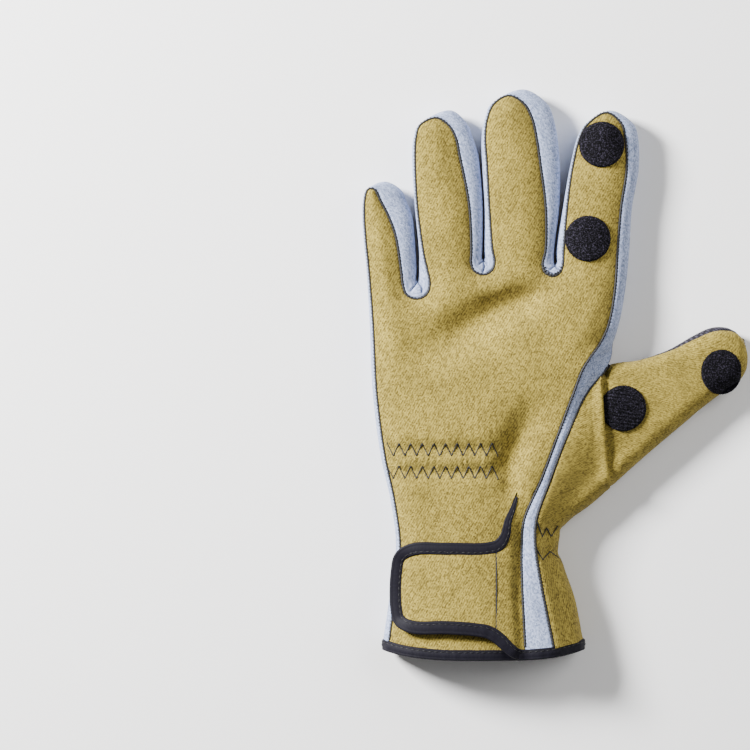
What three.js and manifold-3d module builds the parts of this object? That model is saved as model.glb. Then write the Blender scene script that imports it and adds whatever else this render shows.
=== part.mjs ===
// Neoprene glove for the left hand. It lies on its palm, with its back up and its thumb spread.
// Millimetres. X runs across the hand to the thumb side, Y to the fingertips, Z up from the surface.
// Plan positions are measured from a point in the web beside the index finger, and the whole glove is
// then moved so that the origin is under the middle of its outline.
import * as THREE from 'three';
import { mergeVertices } from 'three/addons/utils/BufferGeometryUtils.js';
import Module from 'manifold-3d';

const wasm = await Module();
wasm.setup();

// Driving sizes
const PLAN_MIDDLE = [-0.1, -1.6];
const WALL = 2;
const GAP = 0.3;
const SIDE_HEIGHT = 7;
const CROWN_RISE = 3;
const CROWN_REACH = 11;
const UNDER_LEFT = 6.5;
const UNDER_RIGHT = 1.7;
const UNDER_TIP = 5;
const TIP_REACH = 15;
const SLIT_END_RADIUS = 0.5;
const PANEL_CELL = 6;
const SAMPLES_PER_SPAN = 2;

const BINDING_WIDTH = 5;
const BINDING_THICKNESS = 3.6;
const STRAP_BINDING_THICKNESS = 2.6;
const STRAP_BINDING_SINK = 0.7;
const STRAP_LIFT = 3.4;
const PAD_THICKNESS = 0.6;
const PAD_GAP = 0.5;

const DOT_DIAMETER = 20;
const DOT_THICKNESS = 1.2;
const DOT_GAP = 0.4;

const COLOURS = {
  khaki: 0xb9a25f,
  grey: 0xaeb9ce,
  palm: 0x4a4852,
  tape: 0x262433,
  dot: 0x1e1b24,
};

// A table's rows as objects that carry the names of its columns
function table(columns, rows) {
  return rows.map((row) => Object.fromEntries(columns.map((name, i) => [name, row[i]])));
}

// Cross-sections of the fingers: x of the outer edge and of the back seam, on each side
const FINGER_COLUMNS = ['y', 'outLeft', 'seamLeft', 'seamRight', 'outRight'];
const FINGERS = {
  little: {
    rows: table(FINGER_COLUMNS, [
      [43.6, -83.1, -82.0, -67.9, -61.1],
      [59.8, -84.6, -83.6, -70.5, -62.1],
      [68.6, -85.0, -84.1, -73.8, -63.2],
      [75.2, -84.7, -83.9, -77.2, -65.8],
      [79.6, -83.4, -82.7, -79.4, -67.8],
    ]),
    seamTip: [-81.3, 80.3],
    outTip: [-75.0, 83.4],
  },
  ring: {
    rows: table(FINGER_COLUMNS, [
      [52.4, -60.0, -58.1, -37.1, -32.1],
      [73.0, -61.9, -60.8, -38.1, -31.9],
      [95.0, -63.1, -61.8, -42.3, -34.0],
      [103.0, -62.4, -61.3, -44.1, -36.5],
      [108.2, -60.3, -59.5, -47.2, -38.4],
    ]),
    seamTip: [-52.6, 111.3],
    outTip: [-46.0, 114.8],
  },
  middle: {
    rows: table(FINGER_COLUMNS, [
      [53.2, -31.4, -27.7, -4.5, -0.4],
      [71.7, -31.2, -29.1, -4.4, 1.7],
      [90.6, -32.2, -30.1, -6.7, 2.0],
      [103.4, -32.4, -30.9, -8.6, 0.9],
      [111.3, -31.0, -29.9, -10.5, -0.8],
      [117.5, -28.4, -27.1, -13.9, -3.4],
    ]),
    seamTip: [-20.5, 121.1],
    outTip: [-13.9, 124.0],
  },
  index: {
    rows: table(FINGER_COLUMNS, [
      [53.2, 0.3, 3.6, 27.2, 32.6],
      [71.7, 3.3, 5.1, 28.7, 33.8],
      [89.3, 6.4, 7.5, 31.2, 36.8],
      [103.4, 10.0, 11.0, 30.4, 36.4],
      [108.7, 13.3, 14.3, 29.0, 34.5],
    ]),
    seamTip: [22.5, 113.6],
    outTip: [24.4, 114.7],
  },
};

// Webs between the fingers: the back seam's oval round the web, and the end of the slit above it
const WEBS = table(
  ['x', 'y', 'across', 'along', 'slitX', 'slitY'],
  [
    [-61.2, 37.4, 5.9, 5.8, -60.8, 40.5],
    [-32.0, 47.7, 5.3, 5.4, -31.8, 49.9],
    [-1.3, 46.6, 4.5, 5.0, 0.0, 48.0],
  ],
);
const WEB_BOTTOM = 270;
const WEB_ANGLES = [180, 225, WEB_BOTTOM, 315, 360];

// Little-finger side of the hand, from the finger down to the hem
const OUTER_SIDE = table(
  ['y', 'out', 'seam'],
  [
    [20.2, -81.7, -80.2],
    [-9.7, -80.4, -78.6],
    [-37.8, -76.8, -74.9],
    [-56.8, -72.6, -70.8],
    [-76.6, -70.2, -68.3],
    [-93.3, -72.1, -69.9],
    [-117.2, -75.6, -72.9],
  ],
);

// Thumb side: the strip leaves the side of the index finger and crosses the top of the wrist as a band
const BAND = table(
  ['y', 'seam', 'out', 'outHeight'],
  [
    [36.0, 26.0, 30.9, 7],
    [20.2, 23.1, 27.9, 7],
    [11.4, 19.0, 26.4, 9],
    [6.2, 15.2, 25.1, 10],
    [0.0, 11.4, 21.6, 14],
    [-9.7, 7.7, 13.6, 17],
    [-28.6, 0.6, 4.8, 20.5],
    [-48.0, -6.6, -2.6, 20],
    [-65.6, -14.1, -8.7, 21],
    [-76.6, -15.0, -9.1, 21.5],
    [-93.3, -14.9, -6.6, 22],
    [-120.6, -13.6, -1.2, 22.5],
  ],
);
const BAND_TURN = [20, 2];
const BAND_CAMBER = 0.4;

// Height of the back seam on each side of the hand, and the bulge between them
const BACK_HEIGHTS = table(
  ['y', 'left', 'bulge', 'right'],
  [
    [124, 12.0, 0.0, 12.0],
    [46, 12.5, 0.5, 12.8],
    [20, 13.0, 2.0, 15.5],
    [0, 13.5, 2.5, 17.0],
    [-28, 14.0, 3.0, 18.5],
    [-50, 13.5, 2.5, 17.5],
    [-77, 13.0, 2.5, 15.5],
    [-95, 13.5, 3.5, 16.5],
    [-127, 14.5, 4.5, 18.0],
  ],
);

// Folds of the back: a valley from one point to the next, with its depth and half width there
const FOLDS = {
  knuckle: table(
    ['x', 'y', 'depth', 'reach'],
    [
      [-3, 37, 3.0, 5],
      [-15.5, 30.5, 5.0, 7],
      [-27.5, 26, 6.0, 8],
      [-40, 18.5, 5.4, 9],
      [-57, 9.5, 1.5, 9],
    ],
  ),
  wrist: table(
    ['x', 'y', 'depth', 'reach'],
    [
      [-6, -10, 0.5, 8],
      [-11.5, -21, 3.4, 7.5],
      [-17.5, -31.5, 5.4, 7],
      [-21, -40, 5.6, 6],
      [-20, -50, 3.0, 4.5],
    ],
  ),
};
const ELASTIC = { right: -25, fade: 3, rows: [-34.5, -44.5], depth: 1.4, reach: 3.5 };

// Sections of the thumb and its gusset, from the hem to the tip. Left and right are points of the
// outline. palm is how far across the dark palm reaches underneath, and wrap how far the khaki goes
// under on the right, 1 being all the way to the palm. fold is where the crease crosses.
const THUMB = table(
  ['leftX', 'leftY', 'rightX', 'rightY', 'crown', 'free', 'palm', 'wrap', 'fold', 'foldDepth'],
  [
    [-1.2, -120.2, 12.0, -116.9, 17.0, 0, 0.10, 1, 0.5, 0],
    [-4.6, -101.0, 8.6, -100.0, 16.5, 0, 0.10, 1, 0.5, 0],
    [-8.2, -86.0, 3.9, -86.4, 16.0, 0, 0.10, 1, 0.5, 0],
    [-9.1, -76.6, 1.5, -76.3, 15.0, 0, 0.10, 1, 0.5, 0],
    [-8.7, -65.6, 5.0, -67.2, 15.0, 0, 0.15, 1, 0.5, 0],
    [-4.5, -53.0, 16.0, -58.6, 14.5, 0, 0.30, 0.9, 0.6, 0],
    [-0.9, -43.0, 27.0, -48.8, 14.0, 0, 0.34, 0.3, 0.83, 1.5],
    [2.9, -33.0, 36.2, -40.5, 14.0, 0, 0.36, 0, 0.56, 2.2],
    [6.9, -23.0, 44.2, -33.6, 14.0, 0, 0.38, 0, 0.38, 2.6],
    [12.3, -12.0, 51.2, -27.7, 14.0, 0, 0.36, 0, 0.22, 2.6],
    [19.0, -3.0, 57.6, -22.3, 14.0, 0, 0.24, 0, 0.10, 2.0],
    [23.4, 2.4, 63.1, -17.6, 13.8, 1, 0, 0, 0.4, 0],
    [37.6, 5.0, 69.5, -12.6, 13.6, 1, 0, 0, 0.4, 0],
    [50.0, 9.4, 75.5, -8.2, 13.4, 1, 0, 0, 0.4, 0],
    [60.5, 15.4, 80.6, -4.8, 13.2, 1, 0, 0, 0.4, 0],
    [68.5, 19.0, 84.0, 0.2, 12.6, 1, 0, 0, 0.4, 0],
    [75.0, 19.2, 84.8, 5.4, 11.2, 1, 0, 0, 0.4, 0],
    [79.2, 17.4, 84.2, 9.8, 9.6, 1, 0, 0, 0.4, 0],
  ],
);
const BAND_GAP = 0.5;
const FIRST_THUMB_PALM = 5;

// The thumb's rounded sides: how far each reaches inwards, also as a share of the section's width. In
// degrees, 0 is level with the outline and 90 is where a side meets the top or the underside.
const THUMB_SIDE = { reach: 8, share: 0.45, seam: 33, shoulder: 60, angles: [90, 50, 22, 0] };
const THUMB_UNDER = { reach: 6, share: 0.4, bend: 40 };
const CROWN_AT = 0.7;
const CREASE = { halfWidth: 0.6, from: 0.12, to: 0.88 };

// At the crotch of the thumb the palm's edge stands up to meet the strip and the thumb's root
const CROTCH = table(
  ['x', 'y', 'height'],
  [
    [25.8, 20.2, 1.9],
    [25.3, 15.4, 1.9],
    [24.9, 11.0, 1.9],
    [24.3, 6.4, 5.2],
    [22.8, 3.2, 7.6],
    [23.3, 1.6, 7.0],
    [27.6, -7.0, 1.9],
  ],
);

// The hem's lower edge: an even sag across the cuff. Then the hem's two ends where the cuff is slit.
const HEM = { middle: -32, halfWidth: 50, low: -127.2, rise: 7.2, power: 3.4 };
const HEM_LEFT_END = -17.6;
const HEM_RIGHT_END = -16.8;

// The slit: its top, and the edge of the flap on its thumb side down to the seam with the strap
const SLIT_TOP = -53.4;
const FLAP_RAMP = 16;
const FLAP_EDGE = [
  [-16.2, -52.0],
  [-17.2, -59.3],
  [-19.2, -66.0],
  [-19.6, -74.0],
  [-20.4, -77.8],
  [-22.0, -80.4],
];
const CUFF_EDGE = [
  [-17.5, SLIT_TOP],
  [-19.7, -58.0],
  [-21.6, -63.5],
  [-21.8, -74.0],
  [-21.8, -100.0],
  [-17.2, -112.0],
  [-17.0, -119.0],
];
const FLAP_CORNER = [
  [-22.6, -112.6],
  [-19.8, -115.6],
  [-16.9, -119.4],
];
const STRAP_SEAM = -26.2;
const STRAP_TOP = -80.9;
const STRAP_BOTTOM = -110.2;
const STRAP_END = -67.4;
const STRAP_CORNER = 5;
const STRAP_CORNER_CUT = 0.3;
const STRAP_ROOT = [
  [-38, -110.8],
  [-26.2, -111.8],
];
const STRAP_PAD = { left: -67, right: -50, bottom: -105, top: -86 };

// Middle line of the tape along the slit and round the strap, with its width
const STRAP_BINDING = table(
  ['x', 'y', 'width'],
  [
    [-17.3, -55.4, 1.0],
    [-18.8, -60.0, 2.0],
    [-21.1, -66.0, 2.8],
    [-22.3, -72.0, 3.8],
    [-25.2, -76.4, 4.6],
    [-31.0, -78.1, 4.6],
    [-48.0, -78.1, 4.6],
    [-63.0, -78.4, 4.6],
    [-68.4, -81.5, 4.6],
    [-70.0, -88.0, 4.6],
    [-70.2, -104.0, 4.6],
    [-68.6, -110.0, 4.6],
    [-63.0, -112.8, 4.6],
    [-48.0, -113.0, 4.6],
    [-36.2, -113.8, 4.6],
    [-30.0, -114.8, 4.6],
    [-25.6, -117.2, 4.6],
    [-21.6, -120.6, 4.6],
    [-19.6, -123.2, 4.6],
  ],
);

const DOTS = {
  index_tip_dot: { x: 20.2, y: 99.5, left: 10.4, right: 40, on: 'back_panel' },
  index_base_dot: { x: 14.1, y: 58.1, left: 0, right: 40, on: 'back_panel' },
  thumb_tip_dot: { x: 72.8, y: -0.4, left: 60, right: 80.8, on: 'thumb_back' },
  thumb_base_dot: { x: 29.8, y: -16.4, left: 22.8, right: 45, on: 'thumb_back' },
};
const DOT_SIDES = 20;
const DOT_CELL = 4;
const DOT_CLEARANCE = 1.2;
const SLIT_BAND = { x: 23, y: 84, width: 17, length: 8, thickness: 1.4 };
const HEM_STEPS = 8;
const TAPE_SIDES = 8;

// A smooth plan curve through the points, with the same number of samples between each two
function sampled(points) {
  const curve = new THREE.CatmullRomCurve3(
    points.map(([x, y, z = 0]) => new THREE.Vector3(x, y, z)),
    false,
    'centripetal',
  );
  const count = (points.length - 1) * SAMPLES_PER_SPAN;
  return Array.from({ length: count + 1 }, (_, i) => curve.getPoint(i / count).toArray());
}

// Straight-line reading of a column in a table sorted by the key, rising or falling
function reading(rows, key, column, at) {
  const sorted = rows[0][key] < rows[rows.length - 1][key] ? rows : [...rows].reverse();
  const next = sorted.findIndex((row) => row[key] >= at);
  if (next === 0) {
    return sorted[0][column];
  }
  if (next < 0) {
    return sorted[sorted.length - 1][column];
  }
  const [a, b] = [sorted[next - 1], sorted[next]];
  return THREE.MathUtils.mapLinear(at, a[key], b[key], a[column], b[column]);
}

const mix = THREE.MathUtils.lerp;
const smooth = (value, from, to) => {
  const t = THREE.MathUtils.clamp((value - from) / (to - from), 0, 1);
  return t * t * (3 - 2 * t);
};
const hemEdge = (x) => HEM.low + HEM.rise * (Math.abs(x - HEM.middle) / HEM.halfWidth) ** HEM.power;

// One station of the outline: the back seam, the outer edge and the palm seam, each [x, y]
function fingerStation(finger, row, side) {
  const under = side === 'Left' ? UNDER_LEFT : -UNDER_RIGHT;
  const drop = UNDER_TIP * smooth(row.y, finger.outTip[1] - TIP_REACH, finger.outTip[1]);
  return {
    top: [row['seam' + side], row.y],
    out: [row['out' + side], row.y],
    under: [row['out' + side] + under, row.y - drop],
    flat: 0,
  };
}

function tipStation({ seamTip, outTip }) {
  return {
    top: seamTip,
    out: outTip,
    under: [outTip[0] + (UNDER_LEFT - UNDER_RIGHT) / 2, outTip[1] - UNDER_TIP],
    flat: 0,
  };
}

function webStation(web, degrees) {
  const angle = THREE.MathUtils.degToRad(degrees);
  const [across, along] = [Math.cos(angle), Math.sin(angle)];
  const underAcross = (UNDER_LEFT + UNDER_RIGHT) / 2;
  return {
    top: [web.x + web.across * across, web.y + web.along * along],
    out: [web.slitX + SLIT_END_RADIUS * across, web.slitY + SLIT_END_RADIUS * along],
    under: [
      web.slitX + underAcross * across + (UNDER_LEFT - UNDER_RIGHT) / 2,
      web.slitY + UNDER_TIP * along,
    ],
    flat: 0,
  };
}

// Below the index finger the strip's far edge climbs from the palm seam to the top of the wrist
function bandStation(row) {
  const flat = smooth(-row.y, -BAND_TURN[0], -BAND_TURN[1]);
  return {
    top: [row.seam, row.y],
    out: [mix(row.out, (row.seam + row.out) / 2, flat), row.y],
    under: [mix(row.out - UNDER_RIGHT, row.out, flat), row.y],
    flat,
  };
}

// Every station of the outline, from the hem up the little-finger side, round the fingers and down the
// thumb side. A strip ends at the bottom of each web.
const stations = [];
const stripEnds = [0];
for (const { y, out, seam } of [...OUTER_SIDE].reverse()) {
  stations.push({ top: [seam, y], out: [out, y], under: [out + UNDER_LEFT, y], flat: 0 });
}
Object.values(FINGERS).forEach((finger, i) => {
  stations.push(...finger.rows.map((row) => fingerStation(finger, row, 'Left')));
  stations.push(tipStation(finger));
  stations.push(...[...finger.rows].reverse().map((row) => fingerStation(finger, row, 'Right')));
  if (i < WEBS.length) {
    const bottom = stations.length + WEB_ANGLES.indexOf(WEB_BOTTOM);
    stripEnds.push(bottom * SAMPLES_PER_SPAN);
    stations.push(...WEB_ANGLES.map((degrees) => webStation(WEBS[i], degrees)));
  }
});
const sideEnd = (stations.length + 2) * SAMPLES_PER_SPAN;
stations.push(...BAND.map((row) => bandStation(row)));
stripEnds.push((stations.length - 1) * SAMPLES_PER_SPAN);

const topLine = sampled(stations.map((station) => station.top));
const outLine = sampled(stations.map((station) => station.out));
const underLine = sampled(stations.map((station) => station.under));
const flatness = sampled(stations.map((station) => [station.flat, 0])).map(([flat]) => {
  return Math.max(flat, 0);
});

function distanceToLine(x, y, line) {
  const point = new THREE.Vector3(x, y, 0);
  const foot = new THREE.Vector3();
  let nearest = { distance: Infinity, at: 0 };
  for (let i = 0; i + 1 < line.length; i += 1) {
    const [ax, ay] = line[i];
    const [bx, by] = line[i + 1];
    const segment = new THREE.Line3(new THREE.Vector3(ax, ay, 0), new THREE.Vector3(bx, by, 0));
    const t = segment.closestPointToPointParameter(point, true);
    const distance = segment.at(t, foot).distanceTo(point);
    if (distance < nearest.distance) {
      nearest = { distance, at: i + t };
    }
  }
  return nearest;
}

function foldDepth(x, y, fold) {
  const near = distanceToLine(x, y, fold.map((row) => [row.x, row.y]));
  const i = Math.min(Math.floor(near.at), fold.length - 2);
  const depth = mix(fold[i].depth, fold[i + 1].depth, near.at - i);
  const reach = mix(fold[i].reach, fold[i + 1].reach, near.at - i);
  return depth * Math.exp(-((near.distance / reach) ** 2));
}

function elasticDepth(x, y) {
  const inside = smooth(x, ELASTIC.right + ELASTIC.fade, ELASTIC.right - ELASTIC.fade);
  const depths = ELASTIC.rows.map((row) => Math.exp(-(((y - row) / ELASTIC.reach) ** 2)));
  return ELASTIC.depth * inside * Math.max(...depths);
}

// Height of the back's outer face. It rises from the seam round the fingers and the outer side, and
// runs level into the band on the thumb side.
const freeSeam = topLine.slice(0, sideEnd);
function backHeight(x, y) {
  const left = reading(OUTER_SIDE, 'y', 'seam', y);
  const right = reading(BAND, 'y', 'seam', y);
  const across = THREE.MathUtils.clamp((2 * (x - left)) / (right - left) - 1, -1, 1);
  const seam = mix(
    reading(BACK_HEIGHTS, 'y', 'left', y),
    reading(BACK_HEIGHTS, 'y', 'right', y),
    (across + 1) / 2,
  );
  const bulge = reading(BACK_HEIGHTS, 'y', 'bulge', y) * (1 - across ** 2);
  const inward = Math.min(distanceToLine(x, y, freeSeam).distance / CROWN_REACH, 1);
  const rise = CROWN_RISE * (1 - (1 - inward) ** 2);
  const folds = foldDepth(x, y, FOLDS.knuckle) + foldDepth(x, y, FOLDS.wrist) + elasticDepth(x, y);
  return seam + bulge + rise - folds * inward;
}

// The flap on the thumb side of the slit lifts clear of the cuff below it
const flapRamp = (y) => smooth(-y, -SLIT_TOP - 1, -SLIT_TOP + FLAP_RAMP);
const flapHeight = (x, y) => backHeight(x, y) + STRAP_LIFT * flapRamp(y);

// Closed solids from rings of points. Each ring has the same even number of points, and its first half
// faces its second half, which also gives the end caps.
function loft(rings, closed = false) {
  const size = rings[0].length;
  const faces = [];
  const spans = closed ? rings.length : rings.length - 1;
  for (let i = 0; i < spans; i += 1) {
    for (let j = 0; j < size; j += 1) {
      const a = i * size + j;
      const b = i * size + ((j + 1) % size);
      const c = ((i + 1) % rings.length) * size + ((j + 1) % size);
      const d = ((i + 1) % rings.length) * size + j;
      faces.push(a, b, c, a, c, d);
    }
  }
  const last = (rings.length - 1) * size;
  for (let j = 0; j + 1 < size / 2 && !closed; j += 1) {
    const [a, b, c, d] = [j, j + 1, size - 2 - j, size - 1 - j];
    faces.push(a, d, c, a, c, b);
    faces.push(last + a, last + b, last + c, last + a, last + c, last + d);
  }
  return solid(rings.flat(), faces);
}

// An indexed geometry with its faces turned outwards
function solid(points, faces) {
  const geometry = new THREE.BufferGeometry();
  geometry.setAttribute('position', new THREE.Float32BufferAttribute(points.flat(), 3));
  let volume = 0;
  for (let i = 0; i < faces.length; i += 3) {
    const [a, b, c] = [0, 1, 2].map((k) => new THREE.Vector3(...points[faces[i + k]]));
    volume += a.dot(b.cross(c));
  }
  const outward = [...faces];
  for (let i = 0; i < faces.length && volume < 0; i += 3) {
    [outward[i + 1], outward[i + 2]] = [faces[i + 2], faces[i + 1]];
  }
  geometry.setIndex(outward);
  return geometry;
}

function toManifold(geometry) {
  geometry.deleteAttribute('normal');
  geometry.deleteAttribute('uv');
  const merged = mergeVertices(geometry);
  return new wasm.Manifold(
    new wasm.Mesh({
      numProp: 3,
      vertProperties: new Float32Array(merged.attributes.position.array),
      triVerts: new Uint32Array(merged.index.array),
    }),
  );
}

function fromManifold(manifold) {
  const mesh = manifold.getMesh();
  const geometry = new THREE.BufferGeometry();
  geometry.setAttribute('position', new THREE.BufferAttribute(new Float32Array(mesh.vertProperties), 3));
  geometry.setIndex(new THREE.BufferAttribute(new Uint32Array(mesh.triVerts), 1));
  return geometry;
}

// A plate with curved faces: the outline's prism cut from a grid between two height functions
function plate(outline, top, bottom, cell) {
  const xs = outline.map(([x]) => x);
  const ys = outline.map(([, y]) => y);
  const [x0, y0] = [Math.min(...xs) - 1, Math.min(...ys) - 1];
  const columns = Math.ceil((Math.max(...xs) + 1 - x0) / cell) + 1;
  const rows = Math.ceil((Math.max(...ys) + 1 - y0) / cell) + 1;
  const points = [];
  for (const height of [top, bottom]) {
    for (let j = 0; j < rows; j += 1) {
      for (let i = 0; i < columns; i += 1) {
        const [x, y] = [x0 + i * cell, y0 + j * cell];
        points.push([x, y, height(x, y)]);
      }
    }
  }
  const faces = [];
  const under = columns * rows;
  for (let j = 0; j + 1 < rows; j += 1) {
    for (let i = 0; i + 1 < columns; i += 1) {
      const a = j * columns + i;
      const [b, c, d] = [a + 1, a + columns + 1, a + columns];
      faces.push(a, b, c, a, c, d);
      faces.push(under + a, under + c, under + b, under + a, under + d, under + c);
    }
  }
  const acrossIndex = Array.from({ length: columns - 1 }, (_, i) => i);
  const upIndex = Array.from({ length: rows - 1 }, (_, j) => j);
  const rim = [
    ...acrossIndex,
    ...upIndex.map((j) => (j + 1) * columns - 1),
    ...acrossIndex.map((i) => columns * rows - 1 - i),
    ...upIndex.map((j) => (rows - 1 - j) * columns),
  ];
  rim.forEach((a, i) => {
    const b = rim[(i + 1) % rim.length];
    faces.push(a, under + a, under + b, a, under + b, b);
  });
  const heights = points.map(([, , z]) => z);
  const [low, high] = [Math.min(...heights) - 1, Math.max(...heights) + 1];
  const shape = new THREE.Shape(outline.map(([x, y]) => new THREE.Vector2(x, y)));
  const prism = new THREE.ExtrudeGeometry(shape, { depth: high - low, bevelEnabled: false });
  prism.translate(0, 0, low);
  return toManifold(solid(points, faces)).intersect(toManifold(prism));
}

// The outline moved inwards, which is to the right of its direction of travel
function inset(line, distance) {
  return line.map(([x, y], i) => {
    const before = line[Math.max(i - 1, 0)];
    const after = line[Math.min(i + 1, line.length - 1)];
    const along = new THREE.Vector2(after[0] - before[0], after[1] - before[1]).normalize();
    return [x + along.y * distance, y - along.x * distance];
  });
}

// The lower edge of a panel, from the thumb side back to the outer side, clear of the binding
function hemLine(right, left) {
  return Array.from({ length: HEM_STEPS + 1 }, (_, i) => {
    const x = mix(right, left, i / HEM_STEPS);
    return [x, hemEdge(x) + BINDING_WIDTH + GAP];
  });
}

function backPanel() {
  const seam = inset(topLine, GAP);
  const slitStart = seam.findIndex(([, y], i) => i > sideEnd && y < SLIT_TOP);
  const [rightX] = seam[seam.length - 1];
  const main = [
    ...seam.slice(0, slitStart),
    ...CUFF_EDGE,
    ...hemLine(CUFF_EDGE[CUFF_EDGE.length - 1][0], seam[0][0]),
  ];
  const flap = [
    ...FLAP_EDGE,
    [STRAP_SEAM + GAP, STRAP_TOP - GAP],
    [STRAP_SEAM + GAP, STRAP_BOTTOM - 1],
    ...FLAP_CORNER,
    ...hemLine(FLAP_CORNER[2][0], rightX).slice(1),
    ...seam.slice(slitStart - 2).reverse().slice(1),
  ];
  const below = (height) => (x, y) => height(x, y) - WALL;
  return plate(main, backHeight, below(backHeight), PANEL_CELL)
    .add(plate(flap, flapHeight, below(flapHeight), PANEL_CELL));
}

// One ring of a strip, from the back seam round the side to the palm seam and back along the inside.
// Where the strip is flat, its ring is a flat band.
function stripRing(i) {
  const [top, out, under] = [topLine[i], outLine[i], underLine[i]];
  const flat = flatness[i];
  const topHeight = (i > sideEnd && top[1] < SLIT_TOP ? flapHeight : backHeight)(top[0], top[1]);
  const bandHeight = reading(BAND, 'y', 'outHeight', under[1]);
  const outHeight = mix(SIDE_HEIGHT, (topHeight + bandHeight) / 2 + BAND_CAMBER, flat);
  const underHeight = mix(0, bandHeight, flat);
  const inward = new THREE.Vector2(top[0] + under[0] - 2 * out[0], top[1] + under[1] - 2 * out[1]);
  inward.setLength(WALL * (1 - flat));
  const inner = [out[0] + inward.x, out[1] + inward.y];
  const innerHeight = outHeight - WALL * flat;
  const innerUnder = mix(WALL, underHeight - WALL, flat);
  const near = mix(Math.SQRT1_2, 0.5, flat);
  const far = 1 - near;
  const between = (a, b, share) => [mix(a[0], b[0], share), mix(a[1], b[1], share)];
  return [
    [top[0], top[1], topHeight],
    [...between(top, out, near), mix(outHeight, topHeight, near)],
    [out[0], out[1], outHeight],
    [...between(out, under, far), mix(outHeight, underHeight, near)],
    [under[0], under[1], underHeight],
    [under[0], under[1], innerUnder],
    [...between(inner, under, far), mix(innerHeight, innerUnder, near)],
    [inner[0], inner[1], innerHeight],
    [...between(top, inner, near), mix(innerHeight, topHeight - WALL, near)],
    [top[0], top[1], topHeight - WALL],
  ];
}

function strip(from, to) {
  const rings = Array.from({ length: to - from + 1 }, (_, i) => stripRing(from + i));
  const shift = (ring, dx) => ring.map(([x, y, z]) => [x + dx, y, z]);
  if (from > 0) {
    rings[0] = shift(rings[0], GAP / 2);
  }
  if (to < topLine.length - 1) {
    rings.push(shift(rings.pop(), -GAP / 2));
  }
  return loft(rings);
}

// A section of the thumb as points [along the section, height]: the khaki over the top and round the
// right side, then the dark palm underneath and up the left side
function thumbSection(row) {
  const width = Math.hypot(row.rightX - row.leftX, row.rightY - row.leftY);
  const reach = Math.min(THUMB_SIDE.reach, width * THUMB_SIDE.share);
  const underReach = Math.min(THUMB_UNDER.reach, width * THUMB_UNDER.share);
  const leftHeight = row.free ? row.crown : reading(BAND, 'y', 'outHeight', row.leftY);
  const topAt = (s) => mix(leftHeight, row.crown, smooth(s, 0, width * CROWN_AT));
  const turn = (degrees) => {
    const angle = THREE.MathUtils.degToRad(degrees);
    return [1 - Math.cos(angle), Math.sin(angle)];
  };
  const leftTop = (degrees) => {
    const [across, up] = turn(degrees);
    const share = (degrees - THUMB_SIDE.seam) / (90 - THUMB_SIDE.seam);
    return row.free
      ? [reach * across, mix(SIDE_HEIGHT, row.crown, up)]
      : [mix(BAND_GAP, reach, share), topAt(mix(0, reach, share))];
  };
  const rightTop = (degrees) => {
    const [across, up] = turn(degrees);
    const s = width - reach * across;
    return [s, mix(SIDE_HEIGHT, topAt(s), up)];
  };
  const rightUnder = (degrees) => {
    const [across, down] = turn(degrees);
    return [width - underReach * across, SIDE_HEIGHT * (1 - down)];
  };
  const leftUnder = (degrees) => {
    const [across, down] = turn(degrees);
    return [underReach * across, SIDE_HEIGHT * (1 - down)];
  };
  const room = width - 2 * reach;
  const share = THREE.MathUtils.clamp((row.fold * width - reach) / room, CREASE.from, CREASE.to);
  const crease = reach + share * room;
  const beyond = mix(crease, width - reach, 0.6);
  const wrapped = row.wrap > 0.5;
  const palmEdge = row.palm * width + GAP;
  const seam = rightUnder(mix(40, 90, row.wrap));
  const khaki = [
    leftTop(THUMB_SIDE.seam),
    leftTop(THUMB_SIDE.shoulder),
    leftTop(90),
    [crease - CREASE.halfWidth, topAt(crease) + row.foldDepth / 2],
    [crease + CREASE.halfWidth, topAt(crease) - row.foldDepth / 2],
    [beyond, topAt(beyond)],
    ...THUMB_SIDE.angles.map((degrees) => rightTop(degrees)),
    rightUnder(mix(20, 50, row.wrap)),
    wrapped ? [mix(width - underReach, palmEdge, 0.75), 0] : rightUnder(mix(30, 80, row.wrap)),
    wrapped ? [palmEdge, 0] : seam,
  ];
  const start = row.free ? underReach : palmEdge;
  const level = (t) => [mix(start, width - underReach, t), 0];
  const leftSide = [[underReach, 0], leftUnder(THUMB_UNDER.bend), leftUnder(0), leftTop(THUMB_SIDE.seam)];
  const palm = [
    seam,
    level(1),
    level(0.5),
    ...(row.free ? leftSide : [level(0.36), level(0.24), level(0.12), level(0)]),
  ];
  return { khaki, palm };
}

// One piece's ring of a section. The inner points lie a wall's thickness inside the outer ones, and the
// ring stops just short of the seam at each end.
function thumbRing(row, piece) {
  const { khaki, palm } = thumbSection(row);
  const profile = row.wrap > 0.5 ? khaki : [...khaki, ...palm.slice(1)];
  const last = profile.length - 1;
  const inner = profile.map(([s, z], i) => {
    const before = profile[i === 0 && row.free ? last - 1 : Math.max(i - 1, 0)];
    const after = profile[i === last && row.free ? 1 : Math.min(i + 1, last)];
    const step = new THREE.Vector2(after[0] - before[0], after[1] - before[1]).normalize();
    return !row.free && i === 0 ? [s, z - WALL] : [s + step.y * WALL, z - step.x * WALL];
  });
  const along = new THREE.Vector2(row.rightX - row.leftX, row.rightY - row.leftY).normalize();
  const seam = khaki.length - 1;
  const [from, to] = piece === 'khaki' ? [0, seam] : [seam, last];
  const [outside, inside] = [profile, inner].map((line) => line.slice(from, to + 1));
  const end = to - from;
  const shorten = (i, next) => {
    const step = new THREE.Vector2(outside[next][0] - outside[i][0], outside[next][1] - outside[i][1]);
    step.setLength(GAP / 2);
    return [outside, inside].map((line) => [line[i][0] + step.x, line[i][1] + step.y]);
  };
  [outside[0], inside[0]] = shorten(0, 1);
  [outside[end], inside[end]] = shorten(end, end - 1);
  return [...outside, ...inside.reverse()].map(([s, z]) => {
    return [row.leftX + along.x * s, row.leftY + along.y * s, z];
  });
}

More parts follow.
